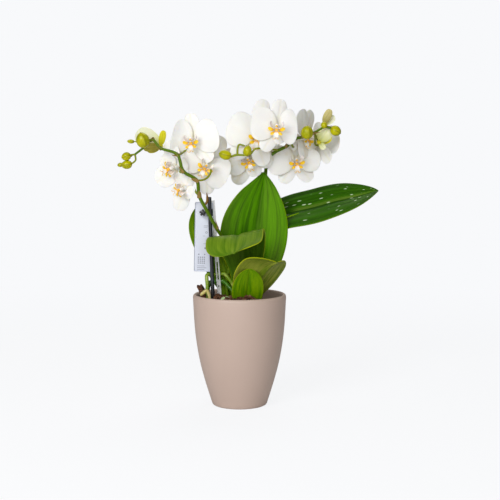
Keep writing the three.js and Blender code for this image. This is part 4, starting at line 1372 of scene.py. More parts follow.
LEAVES = (
    Leaf(
        "leaf_big",
        (
            (1, 11, 112.5), (2, 11.6, 121), (6, 13.5, 138), (14, 17, 163), (18.6, 19, 198), (23.6, 20, 231),
            (26, 20.5, 246), (27.8, 21, 263),
        ),
        38.5, (1, 0.05, -0.04), 17, 17, 0.16, 0.53, 0.1, 2.1, 1.0, 0.95, 1.4,
        left_share=1.1, pleats=6.0, gloss=0.3,
    ),
    Leaf(
        "leaf_right",
        (
            (9, 15, 112.5), (10, 17, 121), (14, 27, 150), (21, 39, 180), (34, 43, 203), (56, 40, 214),
            (84, 32, 221), (107, 24.5, 228), (130, 17.5, 234), (157, 13, 242),
        ),
        28, (0.1, -0.72, -0.66), 14, 14, 0.14, 0.66, 0.12, 2.5, 0.85, 1.2, 1.4,
        foot_side=(1, 0.1, -0.2), pleats=5.0, tones=DARK, gloss=0.3, flecks=0.8,
    ),
    Leaf(
        "leaf_front_left",
        (
            (-1.0, -9.8, 114), (0.4, -11, 127), (6, -13.5, 158), (2.5, -20, 189), (-2, -37, 195.5),
            (-5.3, -62, 178),
        ),
        34, (-0.95, -0.1, -0.75), 2, 26, 0.06, 0.86, 0.14, 3.2, 0.42, 1.2,
        foot_side=(-0.98, -0.05, 0.08), turn=1, ease=3, right_end=6, left_share=0.9, pleats=5.0,
        tones=OLIVE, gloss=0.5,
    ),
    Leaf(
        "leaf_mid_right",
        (
            (7.8, -8.6, 114), (9.4, -11, 122), (15, -19, 133), (26, -32, 151), (34, -40, 161),
            (41, -46, 166.5),
        ),
        32, (-0.99, 0, 0.02), 39, -5, 0.1, 0.78, 0.3, 3, 0.42, 0.8,
        foot_side=(-0.87, 0, 0.5), turn=1, left_share=0.85, pleats=6.0,
        tones=BRONZE, under=(srgb(76, 106, 4), srgb(158, 162, 66)), gloss=0.35,
    ),
    Leaf(
        "leaf_front_small",
        ((5.4, -23.6, 112.5), (6.4, -26, 119.5), (8.2, -30, 126), (10, -35.5, 142), (11.6, -39, 158.8)),
        17.9, (1, 0.15, -0.1), 12, 12, 0.2, 0.45, 0.5, 2.4, 0.55, wave=0.2, tones=LIME,
    ),
    Leaf(
        "leaf_left",
        (
            (-10, 3.4, 113), (-11.6, 4, 124), (-22, 8, 145), (-37, 12, 178), (-45.5, 14, 203),
            (-44.5, 13, 226),
        ),
        14.5, (0.94, 0.1, 0.3), 14, 14, 0.15, 0.66, 0.3, 2.2, 0.6, wave=0.2, tones=LIME,
    ),
    Leaf(
        "leaf_young",
        (
            (2.2, 16.6, 112.5), (4.2, 18.4, 130), (11.5, 22, 158), (25, 25, 186), (46, 24, 207),
            (67.5, 20.5, 216.3),
        ),
        3.6, (0.3, -0.8, -0.5), 25, 25, 0.1, 0.45, 0.6, 1.6, 1, thick=1.1, wave=0.0,
    ),
)


# ------------------------------------------------------------------ flowers


@dataclass(frozen=True)
class Tepal:
    """One petal or sepal, in its flower's own frame: x to its right, y up, z out of its face."""

    angle: float = 0.0
    length: float = 28.5
    half: float = 18.0
    rise: float = 14.0
    curl: float = -8.0
    power: float = 0.8
    skew: float = 0.14
    bulge: float = 0.12
    lift: float = 0.5
    twist: float = 0.0
    tone: str = "petal"

    ROWS = 22
    COLS = 16
    THICK = 0.6
    HEART = 1.4  # how far from the flower's middle the tepals start
    GROOVE = -0.3

    def surface(self, size: float, seed: int) -> Place:
        """Returns the middle surface.

        Args:
            size: the flower's size.
            seed: sets the run of its waves.

        Returns:
            A function from across and along the tepal to a point in the flower's frame.
        """
        angle, start, twist = math.radians(self.angle), math.radians(self.rise), math.radians(self.twist)
        turn = math.radians(self.curl - self.rise)
        out_way = Vector((math.cos(angle), math.sin(angle), 0))
        across_way = Vector((-math.sin(angle), math.cos(angle), 0))
        forward = Vector((0, 0, 1))
        length, half = self.length * size, self.half * size
        rand = random.Random(seed)
        phase, beat = rand.uniform(0, 6.28), rand.uniform(4.5, 7.5)
        wave = (0.75 if self.tone == "petal" else 0.35) * half / 18

        def place(u: float, v: float) -> Vector:
            """Returns a point of the tepal."""
            theta = 0.14 + (math.pi - 0.165) * v
            t = (1 - math.cos(theta)) / 2
            phi = start + turn * t
            if abs(turn) < 1e-3:
                out, up = t * math.cos(start), t * math.sin(start)
            else:
                out = (math.sin(phi) - math.sin(start)) / turn
                up = (math.cos(start) - math.cos(phi)) / turn
            width = half * math.sin(theta) ** self.power * (1 - self.skew * math.cos(theta))
            normal = forward * math.cos(phi) - out_way * math.sin(phi)
            side = across_way * math.cos(twist) + normal * math.sin(twist)
            s = 2 * u - 1
            a = width * s
            groove = self.GROOVE * math.exp(-((s / 0.1) ** 2)) * math.sin(theta)
            ripple = wave * s * s * math.sin(beat * t + phase + 2.2 * s) * math.sin(theta)
            proud = -self.bulge * a * a / half + groove + ripple
            centre = out_way * (self.HEART + out * length) + forward * (self.lift + up * length)
            return centre + side * a + normal * proud

        return place


SEPAL = Tepal(length=29, half=9.2, rise=4, curl=-10, power=0.75, skew=0.05, lift=-2.4, tone="sepal")


def petal(angle: float, length: float, half: float, **changes: float | str) -> Tepal:
    """Returns a petal with an angle, a length, a half width and other changes."""
    return Tepal(angle, length, half, **changes)


def sepal(angle: float, length: float, half: float, **changes: float | str) -> Tepal:
    """Returns a sepal with an angle, a length, a half width and other changes."""
    return replace(SEPAL, angle=angle, length=length, half=half, **changes)


def five(petals: Sequence[dict] = ({}, {}), sepals: Sequence[dict] = ({}, {}, {})) -> tuple[Tepal, ...]:
    """Returns an open flower's five tepals, with what differs on each of them.

    Args:
        petals: changes to the right and left petal.
        sepals: changes to the top, lower right and lower left sepal.

    Returns:
        The tepals.
    """
    plain = [
        Tepal(angle=9), Tepal(angle=171), replace(SEPAL, angle=90),
        replace(SEPAL, angle=-57, lift=-2.2), replace(SEPAL, angle=-123, lift=-3.3),
    ]
    return tuple(replace(tepal, **change) for tepal, change in zip(plain, [*petals, *sepals]))


@dataclass(frozen=True)
class Flower:
    """One flower: where it stands, its tepals, and how it is turned."""

    name: str
    at: Point
    tepals: tuple[Tepal, ...]
    yaw: float = 0.0
    pitch: float = 0.0
    roll: float = 0.0
    size: float = 1.0
    lip_yaw: float = 0.0
    lip_roll: float = 0.0
    opened: bool = True

    def frame(self) -> Matrix:
        """Returns the flower's own frame: yaw turns its face right, pitch up, and roll clockwise."""
        return (
            Matrix.Translation(self.at)
            @ Matrix.Rotation(math.radians(self.yaw), 4, "Z")
            @ Matrix.Rotation(math.radians(-self.pitch), 4, "X")
            @ Matrix.Rotation(math.radians(self.roll), 4, "Y")
            @ Matrix.Rotation(QUARTER, 4, "X")
        )

    def lip_frame(self) -> Matrix:
        """Returns the lip's frame."""
        turn = Matrix.Rotation(math.radians(self.lip_yaw), 4, "Y")
        return self.frame() @ turn @ Matrix.Rotation(math.radians(-self.lip_roll), 4, "Z")


FLOWERS = (
    Flower(
        "bloom_l1", (-50.8, -13, 298.6),
        five(
            [
                {"angle": 12, "rise": 4, "half": 19},
                {"angle": 160, "length": 23.5, "rise": 14, "curl": 50, "half": 18.5, "bulge": 0.2},
            ],
            [{"angle": 96}, {"angle": -52}, {"length": 26}],
        ),
        yaw=-16, pitch=2, roll=-4,
    ),
    Flower(
        "bloom_l2", (-37.4, -8, 269.4),
        five(
            [{"angle": 4, "length": 26, "rise": 8}, {"angle": 176, "rise": 10}],
            [{"length": 37, "half": 11}, {}, {}],
        ),
        yaw=6, pitch=6, roll=30, size=1.02,
    ),
    Flower(
        "bloom_l3", (-70.2, -14, 268.6),
        (
            sepal(217, 27, 12.5, rise=12, curl=2, lift=-1), sepal(142, 19, 9, rise=10, curl=-6, lift=-0.1),
            petal(107, 29, 9, rise=4, curl=-4, lift=-3.4), sepal(302, 14, 9, rise=-6, curl=-10, lift=-2),
            sepal(35, 12, 9, rise=-6, curl=-10, lift=-2),
        ),
        yaw=-18, pitch=-8, lip_roll=66, lip_yaw=-24,
    ),
    Flower(
        "bloom_l4", (-59.4, -19, 246.4),
        (
            sepal(245, 31, 10.5, rise=10, curl=-4), sepal(184, 17, 5, rise=12, curl=6, twist=50),
            petal(122, 19, 8, rise=0, curl=-8, lift=-2), petal(320, 13, 10, rise=40, curl=4),
            sepal(66, 13, 8, rise=0, curl=-20, lift=-1),
        ),
        yaw=-18, pitch=-14, size=0.9, lip_roll=66, lip_yaw=-26,
    ),
    Flower(
        "bloom_r1", (18.2, -8, 303),
        five(
            [{"angle": 22, "length": 24, "half": 15}, {"angle": 172, "rise": 2, "half": 17.5}],
            [{"length": 36}, {}, {}],
        ),
        yaw=12, pitch=2, roll=15, size=1.14,
    ),
    Flower(
        "bloom_r2", (41.6, -36, 312.6),
        five(
            [{"angle": 6, "length": 20, "rise": 22, "curl": 0, "half": 19}, {"angle": 172, "rise": 4}],
            [
                {"angle": 84}, {"angle": -75, "length": 17, "half": 6.5, "rise": 10},
                {"angle": -118, "length": 28, "rise": 8},
            ],
        ),
        yaw=17, pitch=2, roll=4, size=1.02, lip_yaw=-24,
    ),
    Flower(
        "bloom_r3", (10.7, 8, 279.4),
        five(
            [{"angle": 2, "length": 24.5}, {"angle": 177, "half": 16}],
            [
                {"angle": 86}, {"angle": -88, "length": 22, "rise": 20},
                {"angle": -136, "length": 35, "half": 10},
            ],
        ),
        yaw=-8, pitch=-14, roll=-18, size=1.02,
    ),
    Flower(
        "bloom_r4", (63.2, 12, 276.6),
        five([
            {"angle": -6, "length": 27, "half": 13}, {"angle": 177, "length": 32, "rise": 10, "half": 17},
        ]),
        yaw=6, pitch=-4, roll=-4,
    ),
    Flower(
        "bloom_r5", (70.8, 2, 302.0),
        five(
            [{"length": 26, "half": 12}, {"angle": 125, "length": 32, "half": 12, "rise": 10, "curl": 0}],
            [
                {"angle": 76, "length": 38, "half": 11},
                {"angle": -50, "length": 24, "half": 11, "rise": 16}, {"length": 20},
            ],
        ),
        yaw=50, roll=25, size=0.94,
    ),
    Flower("bloom_r6", (93.6, 22, 292.0), five(), yaw=128, pitch=-8, roll=18, size=0.92),
    Flower(
        "opening_l", (-87.2, -8, 292.0),
        (
            petal(150, 29.5, 11, rise=4, curl=10, bulge=-0.12, lift=-2, tone="pale"),
            sepal(78, 16.5, 3.9, rise=12, curl=4, lift=0, tone="lime"),
            # painted shade: this sepal has the olive skin
            sepal(187, 18, 4.6, rise=10, curl=2, bulge=-0.25, lift=0.5, tone="olive"),
            sepal(196, 15, 5, rise=-12, curl=20, bulge=-0.3, lift=-3, tone="lime"),
        ),
        opened=False,
    ),
    Flower(
        "opening_r1", (88.0, -10, 296.5),
        (
            petal(55, 17, 8.8, rise=14, curl=-10, bulge=0.3, lift=1, tone="striped"),
            sepal(40, 15, 8, rise=-10, curl=34, bulge=-0.3, lift=-3, tone="lime"),
            sepal(-50, 9, 3.4, rise=10, curl=0, lift=0, tone="striped"),
        ),
        opened=False,
    ),
    Flower(
        "opening_r2", (93.8, 2, 316.2),
        (
            # painted shade: this sepal has the khaki skin
            sepal(66, 17, 4.6, rise=20, curl=0, bulge=0.3, lift=0, tone="khaki"),
            sepal(35, 14, 4.6, rise=-14, curl=10, bulge=-0.2, lift=-2, tone="pale"),
        ),
        opened=False,
    ),
)


@dataclass(frozen=True)
class Lobe:
    """A cupped lobe of the lip, along a short curved middle line in the lip's frame."""

    line: tuple[Point, ...]
    half: float
    side: Point
    cup: float = 0.12
    fullest: float = 0.6
    foot: float = 0.35

    def surface(self, mirror: float, size: float) -> Place:
        """Returns the lobe's middle surface; mirror is -1 for the left lobe."""
        curve = Spline(self.line)

        def place(u: float, v: float) -> Vector:
            """Returns a point of the lobe."""
            t = (1 - math.cos(math.pi * v)) / 2
            at, along = curve.at(t), curve.heading(min(max(t, 0.01), 0.99))
            side = Vector(self.side)
            across = (side - along * side.dot(along)).normalized()
            up = across.cross(along)
            if t < self.fullest:
                width = self.foot + (1 - self.foot) * math.sin(QUARTER * t / self.fullest)
            else:
                width = math.sqrt(max(0.002, 1 - ((t - self.fullest) / (1 - self.fullest)) ** 2))
            a = self.half * width * (2 * u - 1)
            p = at + across * a + up * (self.cup * a * a)
            return Vector((p.x * mirror, p.y, p.z)) * size

        return place


class LipPart(Enum):
    """The lip's differently coloured parts, each with its skin."""

    HOOD = LipSkin("lip_hood", srgb(251, 244, 240), srgb(234, 216, 196), srgb(214, 130, 110), 0.3, 0.7)
    WING = LipSkin("lip_wing", srgb(252, 206, 0), srgb(240, 164, 6), barred=0.35)
    KEEL = LipSkin("lip_keel", srgb(250, 246, 240), srgb(240, 164, 6), barred=0.8, reach=0.45)
    COLUMN = LipSkin("lip_column", srgb(248, 242, 236), srgb(226, 208, 186), barred=0.1)
    CALLUS = LipSkin("lip_callus", srgb(252, 196, 6), srgb(230, 140, 16), barred=0.8)


KEEL = Lobe(((0, -4.2, 8.0), (0, -7.4, 9.9), (0, -10.2, 9.4), (0, -11.6, 8.6)), 2.8, (1, 0, 0), -0.1, 0.7)
SIDE_LOBES = (
    (
        LipPart.HOOD,
        Lobe(((0.9, -3.0, 6.0), (4.8, -1.8, 8.0), (7.2, 1.8, 9.0), (6.0, 5.6, 9.2)), 3.7, (0.5, 0.2, 1.0)),
    ),
    (LipPart.WING, Lobe(((3.2, -3.6, 8.6), (5.6, -3.2, 9.8), (9.0, -1.6, 10.4)), 2.0, (0, 1.0, 0.25), -0.08)),
    (LipPart.WING, Lobe(((1.2, -5.6, 8.8), (3.6, -7.2, 9.9), (6.2, -8.6, 9.8)), 1.6, (0.7, 1.0, 0.2), -0.08)),
)
ROUND_PARTS = (
    (LipPart.COLUMN, ((0, 0.5, 3.1, 1.7), (0, 1.7, 6.4, 2.0), (0, 1.2, 8.8, 1.9))),
    (LipPart.CALLUS, ((0, 1.0, 9.0, 1.5), (0, 0.2, 10.4, 1.2))),
    (LipPart.COLUMN, ((0, -1.6, 4.6, 1.5), (0, -3.8, 8.0, 1.6))),
    (LipPart.CALLUS, ((-0.8, -3.2, 8.6, 1.1), (-0.9, -4.4, 9.8, 0.8))),
    (LipPart.CALLUS, ((0.8, -3.2, 8.6, 1.1), (0.9, -4.4, 9.8, 0.8))),
)
WHISKER = ((0.5, -11.4, 8.7, 0.35), (1.4, -13.2, 9.6, 0.3), (2.8, -13.4, 11.4, 0.25), (3.4, -11.8, 12.0, 0.2))
SPROUT, BRANCH = srgb(196, 202, 40), srgb(150, 142, 50)
PETAL_SKINS = {
    "petal": PetalSkin("petal_skin"),
    "sepal": PetalSkin("sepal_skin", striped=0.6),
    "pale": PetalSkin("pale_skin", srgb(240, 242, 214), SPROUT, foot_reach=0.6),
    "striped": PetalSkin(
        "striped_skin", srgb(240, 240, 210), SPROUT, stripe=srgb(170, 180, 20), striped=1.0, foot_reach=0.9
    ),
    "lime": PetalSkin("lime_skin", srgb(216, 208, 16), srgb(176, 174, 4), foot_reach=0.8),
    # painted shade: the olive and khaki skins are darker, yellower copies of the lime and white skins, for
    # tepals that lie in shade
    "olive": PetalSkin("olive_skin", srgb(186, 176, 60), BRANCH, foot_reach=0.8),
    "khaki": PetalSkin("khaki_skin", srgb(206, 194, 130), BRANCH, stripe=BRANCH, striped=0.6, foot_reach=0.7),
}


class Flowers:
    """All the open and half-open flowers."""

    LIGHT = (
        (-0.35, -0.8, 0.5), (-0.8, -0.5, 0.35), (0.35, -0.85, 0.4), (-0.3, -0.5, 0.8), (0.0, -1.0, 0.0),
        (-0.6, -0.8, 0.0), (0.6, -0.6, 0.5),
    )
    REACH = 60 * MM  # how near a sheet has to be to shade another
    HEART = ((-4.4, 1.4), (-2.4, 2.6), (0, 2.9), (2.2, 2.0))  # depth and radius of each station

    def __init__(self) -> None:
        """Makes the materials that the flowers share, and the lights that shade them."""
        self.petals = {tone: skin.material() for tone, skin in PETAL_SKINS.items()}
        self.lips = {part: part.value.material() for part in LipPart}
        self.ways = [Vector(way).normalized() for way in self.LIGHT]
        self.full = sum(max(0.0, -way.y) for way in self.ways)

    def lip_sheet(self, flower: Flower, part: LipPart, lobe: Lobe, mirror: float) -> bpy.types.Object:
        """Returns one lobe of a flower's lip, in the flower's place."""
        place, where = lobe.surface(mirror, flower.size), flower.lip_frame()
        piece = thickened(sheet("lip_lobe", 12, 10, lambda u, v: where @ place(u, v)), 0.6)
        mend(piece)
        return dressed(piece, self.lips[part])

    def lip_tube(self, flower: Flower, part: LipPart, stations: Sequence[Station]) -> bpy.types.Object:
        """Returns one round part of a flower's lip, in the flower's place."""
        where, size = flower.lip_frame(), flower.size
        placed = [(*(where @ (Vector(s[:3]) * size)), s[3] * size) for s in stations]
        return dressed(smoothed(tube("lip_round", placed, 12, 4)), self.lips[part])

    def lip_of(self, flower: Flower) -> None:
        """Models a flower's lip: column, hood, wings, keel, callus and the two whiskers."""
        parts = [self.lip_tube(flower, part, stations) for part, stations in ROUND_PARTS]
        parts.append(self.lip_sheet(flower, LipPart.KEEL, KEEL, 1))
        for mirror in (1, -1):
            parts += [self.lip_sheet(flower, part, lobe, mirror) for part, lobe in SIDE_LOBES]
            whisker = [(mirror * x, y, z, radius) for x, y, z, radius in WHISKER]
            parts.append(self.lip_tube(flower, LipPart.WING, whisker))
        hand_over(joined(f"{flower.name}_lip_lobes", parts), Slot.LIP, f"{flower.name}_lip")

    def sheets_of(self, flower: Flower) -> list[bpy.types.Object]:
        """Returns a flower's tepals as bare sheets in their places."""
        where, seed = flower.frame(), sum(ord(c) for c in flower.name)
        pieces = []
        for k, tepal in enumerate(flower.tepals):
            place = tepal.surface(flower.size, 31 * k + seed)
            piece = sheet("tepal", tepal.ROWS, tepal.COLS, lambda u, v: where @ place(u, v))
            pieces.append(dressed(piece, self.petals[tepal.tone]))
        return pieces

    def dimness(self, vertex: bpy.types.MeshVertex, tree: BVHTree) -> float:
        """Returns how little of the soft light from the front reaches a vertex, from 0 to 1."""
        face = vertex.normal if vertex.normal.y < 0 else -vertex.normal
        start = vertex.co + face * Tepal.THICK * MM
        facing = [way for way in self.ways if face.dot(way) > 0]
        lit = sum(face.dot(way) for way in facing if tree.ray_cast(start, way, self.REACH)[0] is None)
        return 1 - min(1.0, lit / self.full)

    def tepals_of(self, flower: Flower, sheets: list[bpy.types.Object], tree: BVHTree) -> None:
        """Finishes a flower's tepals and the swelling they grow from.

        Args:
            flower: the flower.
            sheets: its tepals as bare sheets.
            tree: all the flowers' sheets, for what shades what.
        """
        for piece in sheets:
            # the shade attribute, baked from blocked light, becomes painted shade in the petal skins
            mark(piece, "shade", lambda vertex: self.dimness(vertex, tree))
            thickened(piece, Tepal.THICK)
        where = flower.frame()
        stations = [(*(where @ Vector((0, 0, z))), radius) for z, radius in self.HEART]
        core = mark(smoothed(tube("flower_heart", stations, 14, 4)), "shade", 0.4)
        dressed(core, self.petals["petal" if flower.opened else "lime"])
        piece = joined(f"{flower.name}_tepals", [*sheets, core])
        hand_over(piece, Slot.PETAL if flower.opened else Slot.OPENING, flower.name)

    def build(self) -> None:
        """Models every flower."""
        sheets = {flower.name: self.sheets_of(flower) for flower in FLOWERS}
        points: list[Vector] = []
        faces: list[list[int]] = []
        for piece in (piece for pieces in sheets.values() for piece in pieces):
            faces += [[i + len(points) for i in face.vertices] for face in piece.data.polygons]
            points += [vertex.co.copy() for vertex in piece.data.vertices]
        tree = BVHTree.FromPolygons(points, faces)
        for flower in FLOWERS:
            self.tepals_of(flower, sheets[flower.name], tree)
            if flower.opened:
                self.lip_of(flower)


# ------------------------------------------------------------------ spikes


@dataclass(frozen=True)
class Bud:
    """A closed bud: where its foot is, which way it points, its length and its radius."""

    foot: Point
    aim: Point
    length: float
    radius: float

    STEPS = 12

    def seamed(self, angle: float, centre: Vector) -> float:
        """Returns the swell of a bud between its seams."""
        return 1 - 0.045 * max(0.0, math.cos(3 * angle)) ** 8

    def piece(self) -> bpy.types.Object:
        """Returns the bud: an egg with three seams."""
        aim = Vector(self.aim).normalized()
        stations = []
        for k in range(self.STEPS + 1):
            theta = 0.10 + (math.pi - 0.22) * k / self.STEPS
            t = (1 - math.cos(theta)) / 2
            radius = self.radius * math.sin(theta) * (1.08 - 0.16 * t)
            stations.append((*(Vector(self.foot) + aim * (self.length * t)), radius))
        return smoothed(tube("bud", stations, 36, 2, self.seamed, 0.6))


@dataclass(frozen=True)
class Stalk:
    """A flower's stalk, from the spike to just behind the flower."""

    start: Point
    flower: str
    via: tuple[Point, ...]
    radius: float = 1.15

    def stations(self) -> list[Station]:
        """Returns the stalk's stations."""
        where = next(flower for flower in FLOWERS if flower.name == self.flower).frame()
        ends = [(*(where @ Vector((0, 0, z))), self.radius + more) for z, more in ((-9.5, 0.0), (-5.1, 0.2))]
        return [*((*p, self.radius) for p in (self.start, *self.via)), *ends]


@dataclass(frozen=True)
class Spike:
    """A flower spike: its stem with swollen nodes and bracts, its stalks and its buds."""

    name: str
    stem: tuple[Station, ...]
    nodes: tuple[int, ...]
    stalks: tuple[Stalk, ...]
    twigs: tuple[tuple[Station, ...], ...]
    buds: tuple[Bud, ...]
    sheath: tuple[Station, ...] = ()

    def stem_piece(self) -> bpy.types.Object:
        """Returns the stem, with its nodes as swollen rings."""
        joints = [Vector(self.stem[k][:3]) for k in self.nodes]

        def swell(angle: float, centre: Vector) -> float:
            """Returns how much the stem swells near a node."""
            near = min((centre - joint).length for joint in joints)
            return 1 + 0.16 * math.exp(-((near / 1.8) ** 2))

        def aged(vertex: bpy.types.MeshVertex) -> float:
            """Returns how brown the stem is, most of all at its nodes."""
            p = vertex.co / MM
            return max(math.exp(-(((p - joint).length / 2.4) ** 2)) for joint in joints) * 0.55

        return mark(smoothed(tube(f"{self.name}_stem", self.stem, 18, 10, swell)), "aged", aged)

    def bract(self, index: int) -> bpy.types.Object:
        """Returns the small pointed sheath at one of the stem's nodes."""
        at = Vector(self.stem[index][:3])
        along = (Vector(self.stem[min(index + 1, len(self.stem) - 1)][:3]) - at).normalized()
        radius = self.stem[index][3] * 1.22
        across = along.orthogonal().normalized()
        third = along.cross(across)
        turn = index * 2.4

        def place(u: float, v: float) -> Vector:
            """Returns a point of the sheath."""
            angle = turn + (u - 0.5) * 3.6 * (1 - v) ** 0.8
            out = (across * math.cos(angle) + third * math.sin(angle)) * (radius + 0.9 * v * v)
            return at + along * (9 * v - 2.4) + out

        return mark(thickened(sheet("bract", 8, 10, place), 0.45), "aged", 0.85)

    def build(self, skins: dict[str, bpy.types.Material]) -> None:
        """Models the spike and dresses it.

        Args:
            skins: the materials of the stem, the stalks, the bracts, the dry sheath and the buds.
        """
        parts = [dressed(self.stem_piece(), skins["stem"])]
        parts += [dressed(self.bract(k), skins["bract"]) for k in self.nodes]
        if self.sheath:
            dry = mark(smoothed(tube("sheath", self.sheath, 10, 5)), "aged", 1.0)
            parts.append(dressed(dry, skins["dry"]))
        for stations in [*(stalk.stations() for stalk in self.stalks), *self.twigs]:
            twig = mark(smoothed(tube("stalk", stations, 12, 7)), "aged", 0.12)
            parts.append(dressed(twig, skins["stalk"]))
        hand_over(joined(f"{self.name}_stems", parts), Slot.SPIKE, self.name)
        buds = [dressed(bud.piece(), skins["bud"]) for bud in self.buds]
        hand_over(joined(f"{self.name}_buds", buds), Slot.SPIKE, self.name)


SPIKES = (
    Spike(
        "spike_left",
        (
            (-13, -1.6, 111.5, 2.0), (-13.8, -1.6, 122, 2.0), (-14.5, -1.4, 140, 2.0), (-11, -2, 162, 2.0),
            (-17.6, -12, 188.2, 2.0), (-25.8, -22, 203, 2.0), (-35.2, -27.4, 221, 2.0),
            (-43.8, -30, 238.3, 2.0), (-46.2, -34, 255, 1.9), (-60.6, -37, 265.2, 1.8), (-67, -35, 283, 1.7),
            (-86.1, -27, 290.2, 1.5), (-95.1, -23, 299.2, 1.4), (-104.8, -17, 290.8, 1.3),
            (-115, -15, 283, 1.2),
        ),
        (3, 5, 7, 8, 9, 10, 11, 12),
        (
            Stalk((-43.8, -30, 238.3), "bloom_l4", ((-47, -27, 241), (-50, -20, 246))),
            Stalk((-60.6, -37, 265.2), "bloom_l3", ((-64, -30, 263.6), (-65, -18, 266))),
            Stalk((-67, -35, 283), "bloom_l1", ((-64.5, -24, 283.5), (-60, -10, 287))),
            Stalk((-86.1, -27, 290.2), "opening_l", ((-86, -16, 290.4),)),
        ),
        (
            (
                (-46.2, -34, 255, 1.15), (-40, -31.5, 255.3, 1.15), (-34.6, -27.5, 258, 1.15),
                (-31.4, -23.5, 263, 1.1), (-31.2, -20.5, 266.6, 0.9),
            ),
            ((-101, -18.5, 294, 1.1), (-104.5, -22, 295, 1.0)),
            ((-106, -17, 290.5, 0.8), (-113, -12, 296.5, 0.6), (-121, -10, 297.4, 0.7)),
            ((-115, -15, 283, 1.1), (-121, -17, 282.2, 1.0)),
            ((-115, -15, 283, 1.1), (-114.6, -14, 276.5, 1.0), (-119.5, -14, 272.4, 1.0)),
            ((-117, -15.2, 282.8, 0.8), (-126, -9.5, 276, 0.7), (-131, -8, 271.4, 0.7)),
        ),
        (
            Bud((-103, -23, 290.5), (-0.28, -0.3, 1), 17.5, 7.4),
            Bud((-116, -11, 297.0), (-1, 0.1, 0.06), 8, 2.3),
            Bud((-119.5, -17, 282.4), (-1, 0, -0.32), 10.5, 4.7),
            Bud((-118.4, -14, 272.6), (-1, 0, -0.14), 12, 5.0),
            Bud((-129, -8.6, 272), (-1, 0.1, -0.2), 6.5, 2.5),
        ),
        (
            (-38.4, -28.4, 227, 0.7), (-35.4, -27.4, 231, 1.5), (-35.0, -26.6, 236, 1.4),
            (-35.8, -26, 241, 0.4),
        ),
    ),
    Spike(
        "spike_right",
        (
            (-6, 13.8, 111.5, 2.1), (-6.2, 15, 122, 2.1), (-3, 22, 150, 2.1), (6, 27, 180, 2.1),
            (20, 28, 213, 2.1), (28.7, 31, 250, 2.0), (30.5, 24, 270, 2.0), (34.5, 8, 280.5, 1.9),
            (41.5, -4, 286.5, 1.9),
            (52.8, -15, 292.6, 1.8), (57.6, -20, 299.4, 1.7), (70, -22.5, 302.1, 1.6), (82, -20, 306.8, 1.4),
            (94.8, -16, 313.1, 1.2), (101, -16, 311.7, 1.1),
        ),
        (3, 5, 7, 9, 10, 11, 12, 13),
        (
            Stalk((30.5, 24, 270), "bloom_r3", ((22, 26, 274),)),
            Stalk((30.5, 24, 270), "bloom_r1", ((29, 13, 291),)),
            Stalk((54.5, -17, 295), "bloom_r2", ((48, -17, 303),)),
            Stalk((30.5, 24, 270), "bloom_r4", ((45, 24, 278),)),
            Stalk((56.5, -19, 297.6), "bloom_r5", ((59.5, -8, 291), (61.5, 4, 294))),
            Stalk((82, -20, 306.8), "bloom_r6", ((84, -6, 302),)),
            Stalk((94.8, -16, 313.1), "opening_r2", ((94.6, -9, 314),)),
            Stalk((82, -20, 306.8), "opening_r1", ((84, -14, 304),)),
        ),
        (
            (
                (43.5, -6, 287.6, 1.2), (36, -12, 288.5, 1.1), (27, -20, 289.4, 1.1),
                (17.4, -25, 289.0, 1.1), (11.5, -26, 282.8, 1.1), (2, -25.5, 282.4, 1.2),
                (-2.4, -25, 282.6, 1.4), (-10.5, -26, 280.2, 1.2),
            ),
            (
                (-2, -25, 282.8, 1.3), (-1.6, -25, 290, 1.2), (0, -24.5, 293.6, 1.2),
                (5.6, -24.5, 292.6, 0.9),
            ),
        ),
        (
            Bud((74, -25, 300.0), (0, -0.4, 1), 15, 6.8),
            Bud((100.4, -16, 311.7), (0.95, 0, -0.5), 12.5, 5.7),
            Bud((93.4, -16.5, 311.5), (-0.1, -0.2, 1), 7.5, 3.6),
            Bud((-8.6, -26, 281.0), (-1, -0.1, 0.24), 14, 5.4),
            Bud((7.2, -27.2, 281.2), (0.3, -0.1, 1), 12, 4.7),
        ),
    ),
)

class Spikes:
    """Both flower spikes."""

    BROWN = srgb(128, 96, 40)
    STEMS = {
        "stem": StemSkin("stem_skin", srgb(40, 70, 0), srgb(102, 136, 0), BROWN),
        "stalk": StemSkin("stalk_skin", srgb(92, 116, 4), srgb(158, 166, 30), BROWN),
        "bract": StemSkin("bract_skin", srgb(96, 84, 24), srgb(160, 140, 70), srgb(150, 120, 70), 0.5),
        "dry": StemSkin("dry_skin", srgb(74, 48, 10), srgb(130, 92, 34), srgb(112, 76, 24), 0.5),
        "bud": BudSkin(),
    }

    def build(self) -> None:
        """Models the spikes with the skins they share."""
        skins = {part: skin.material() for part, skin in self.STEMS.items()}
        for spike in SPIKES:
            spike.build(skins)


# ------------------------------------------------------------------ studio


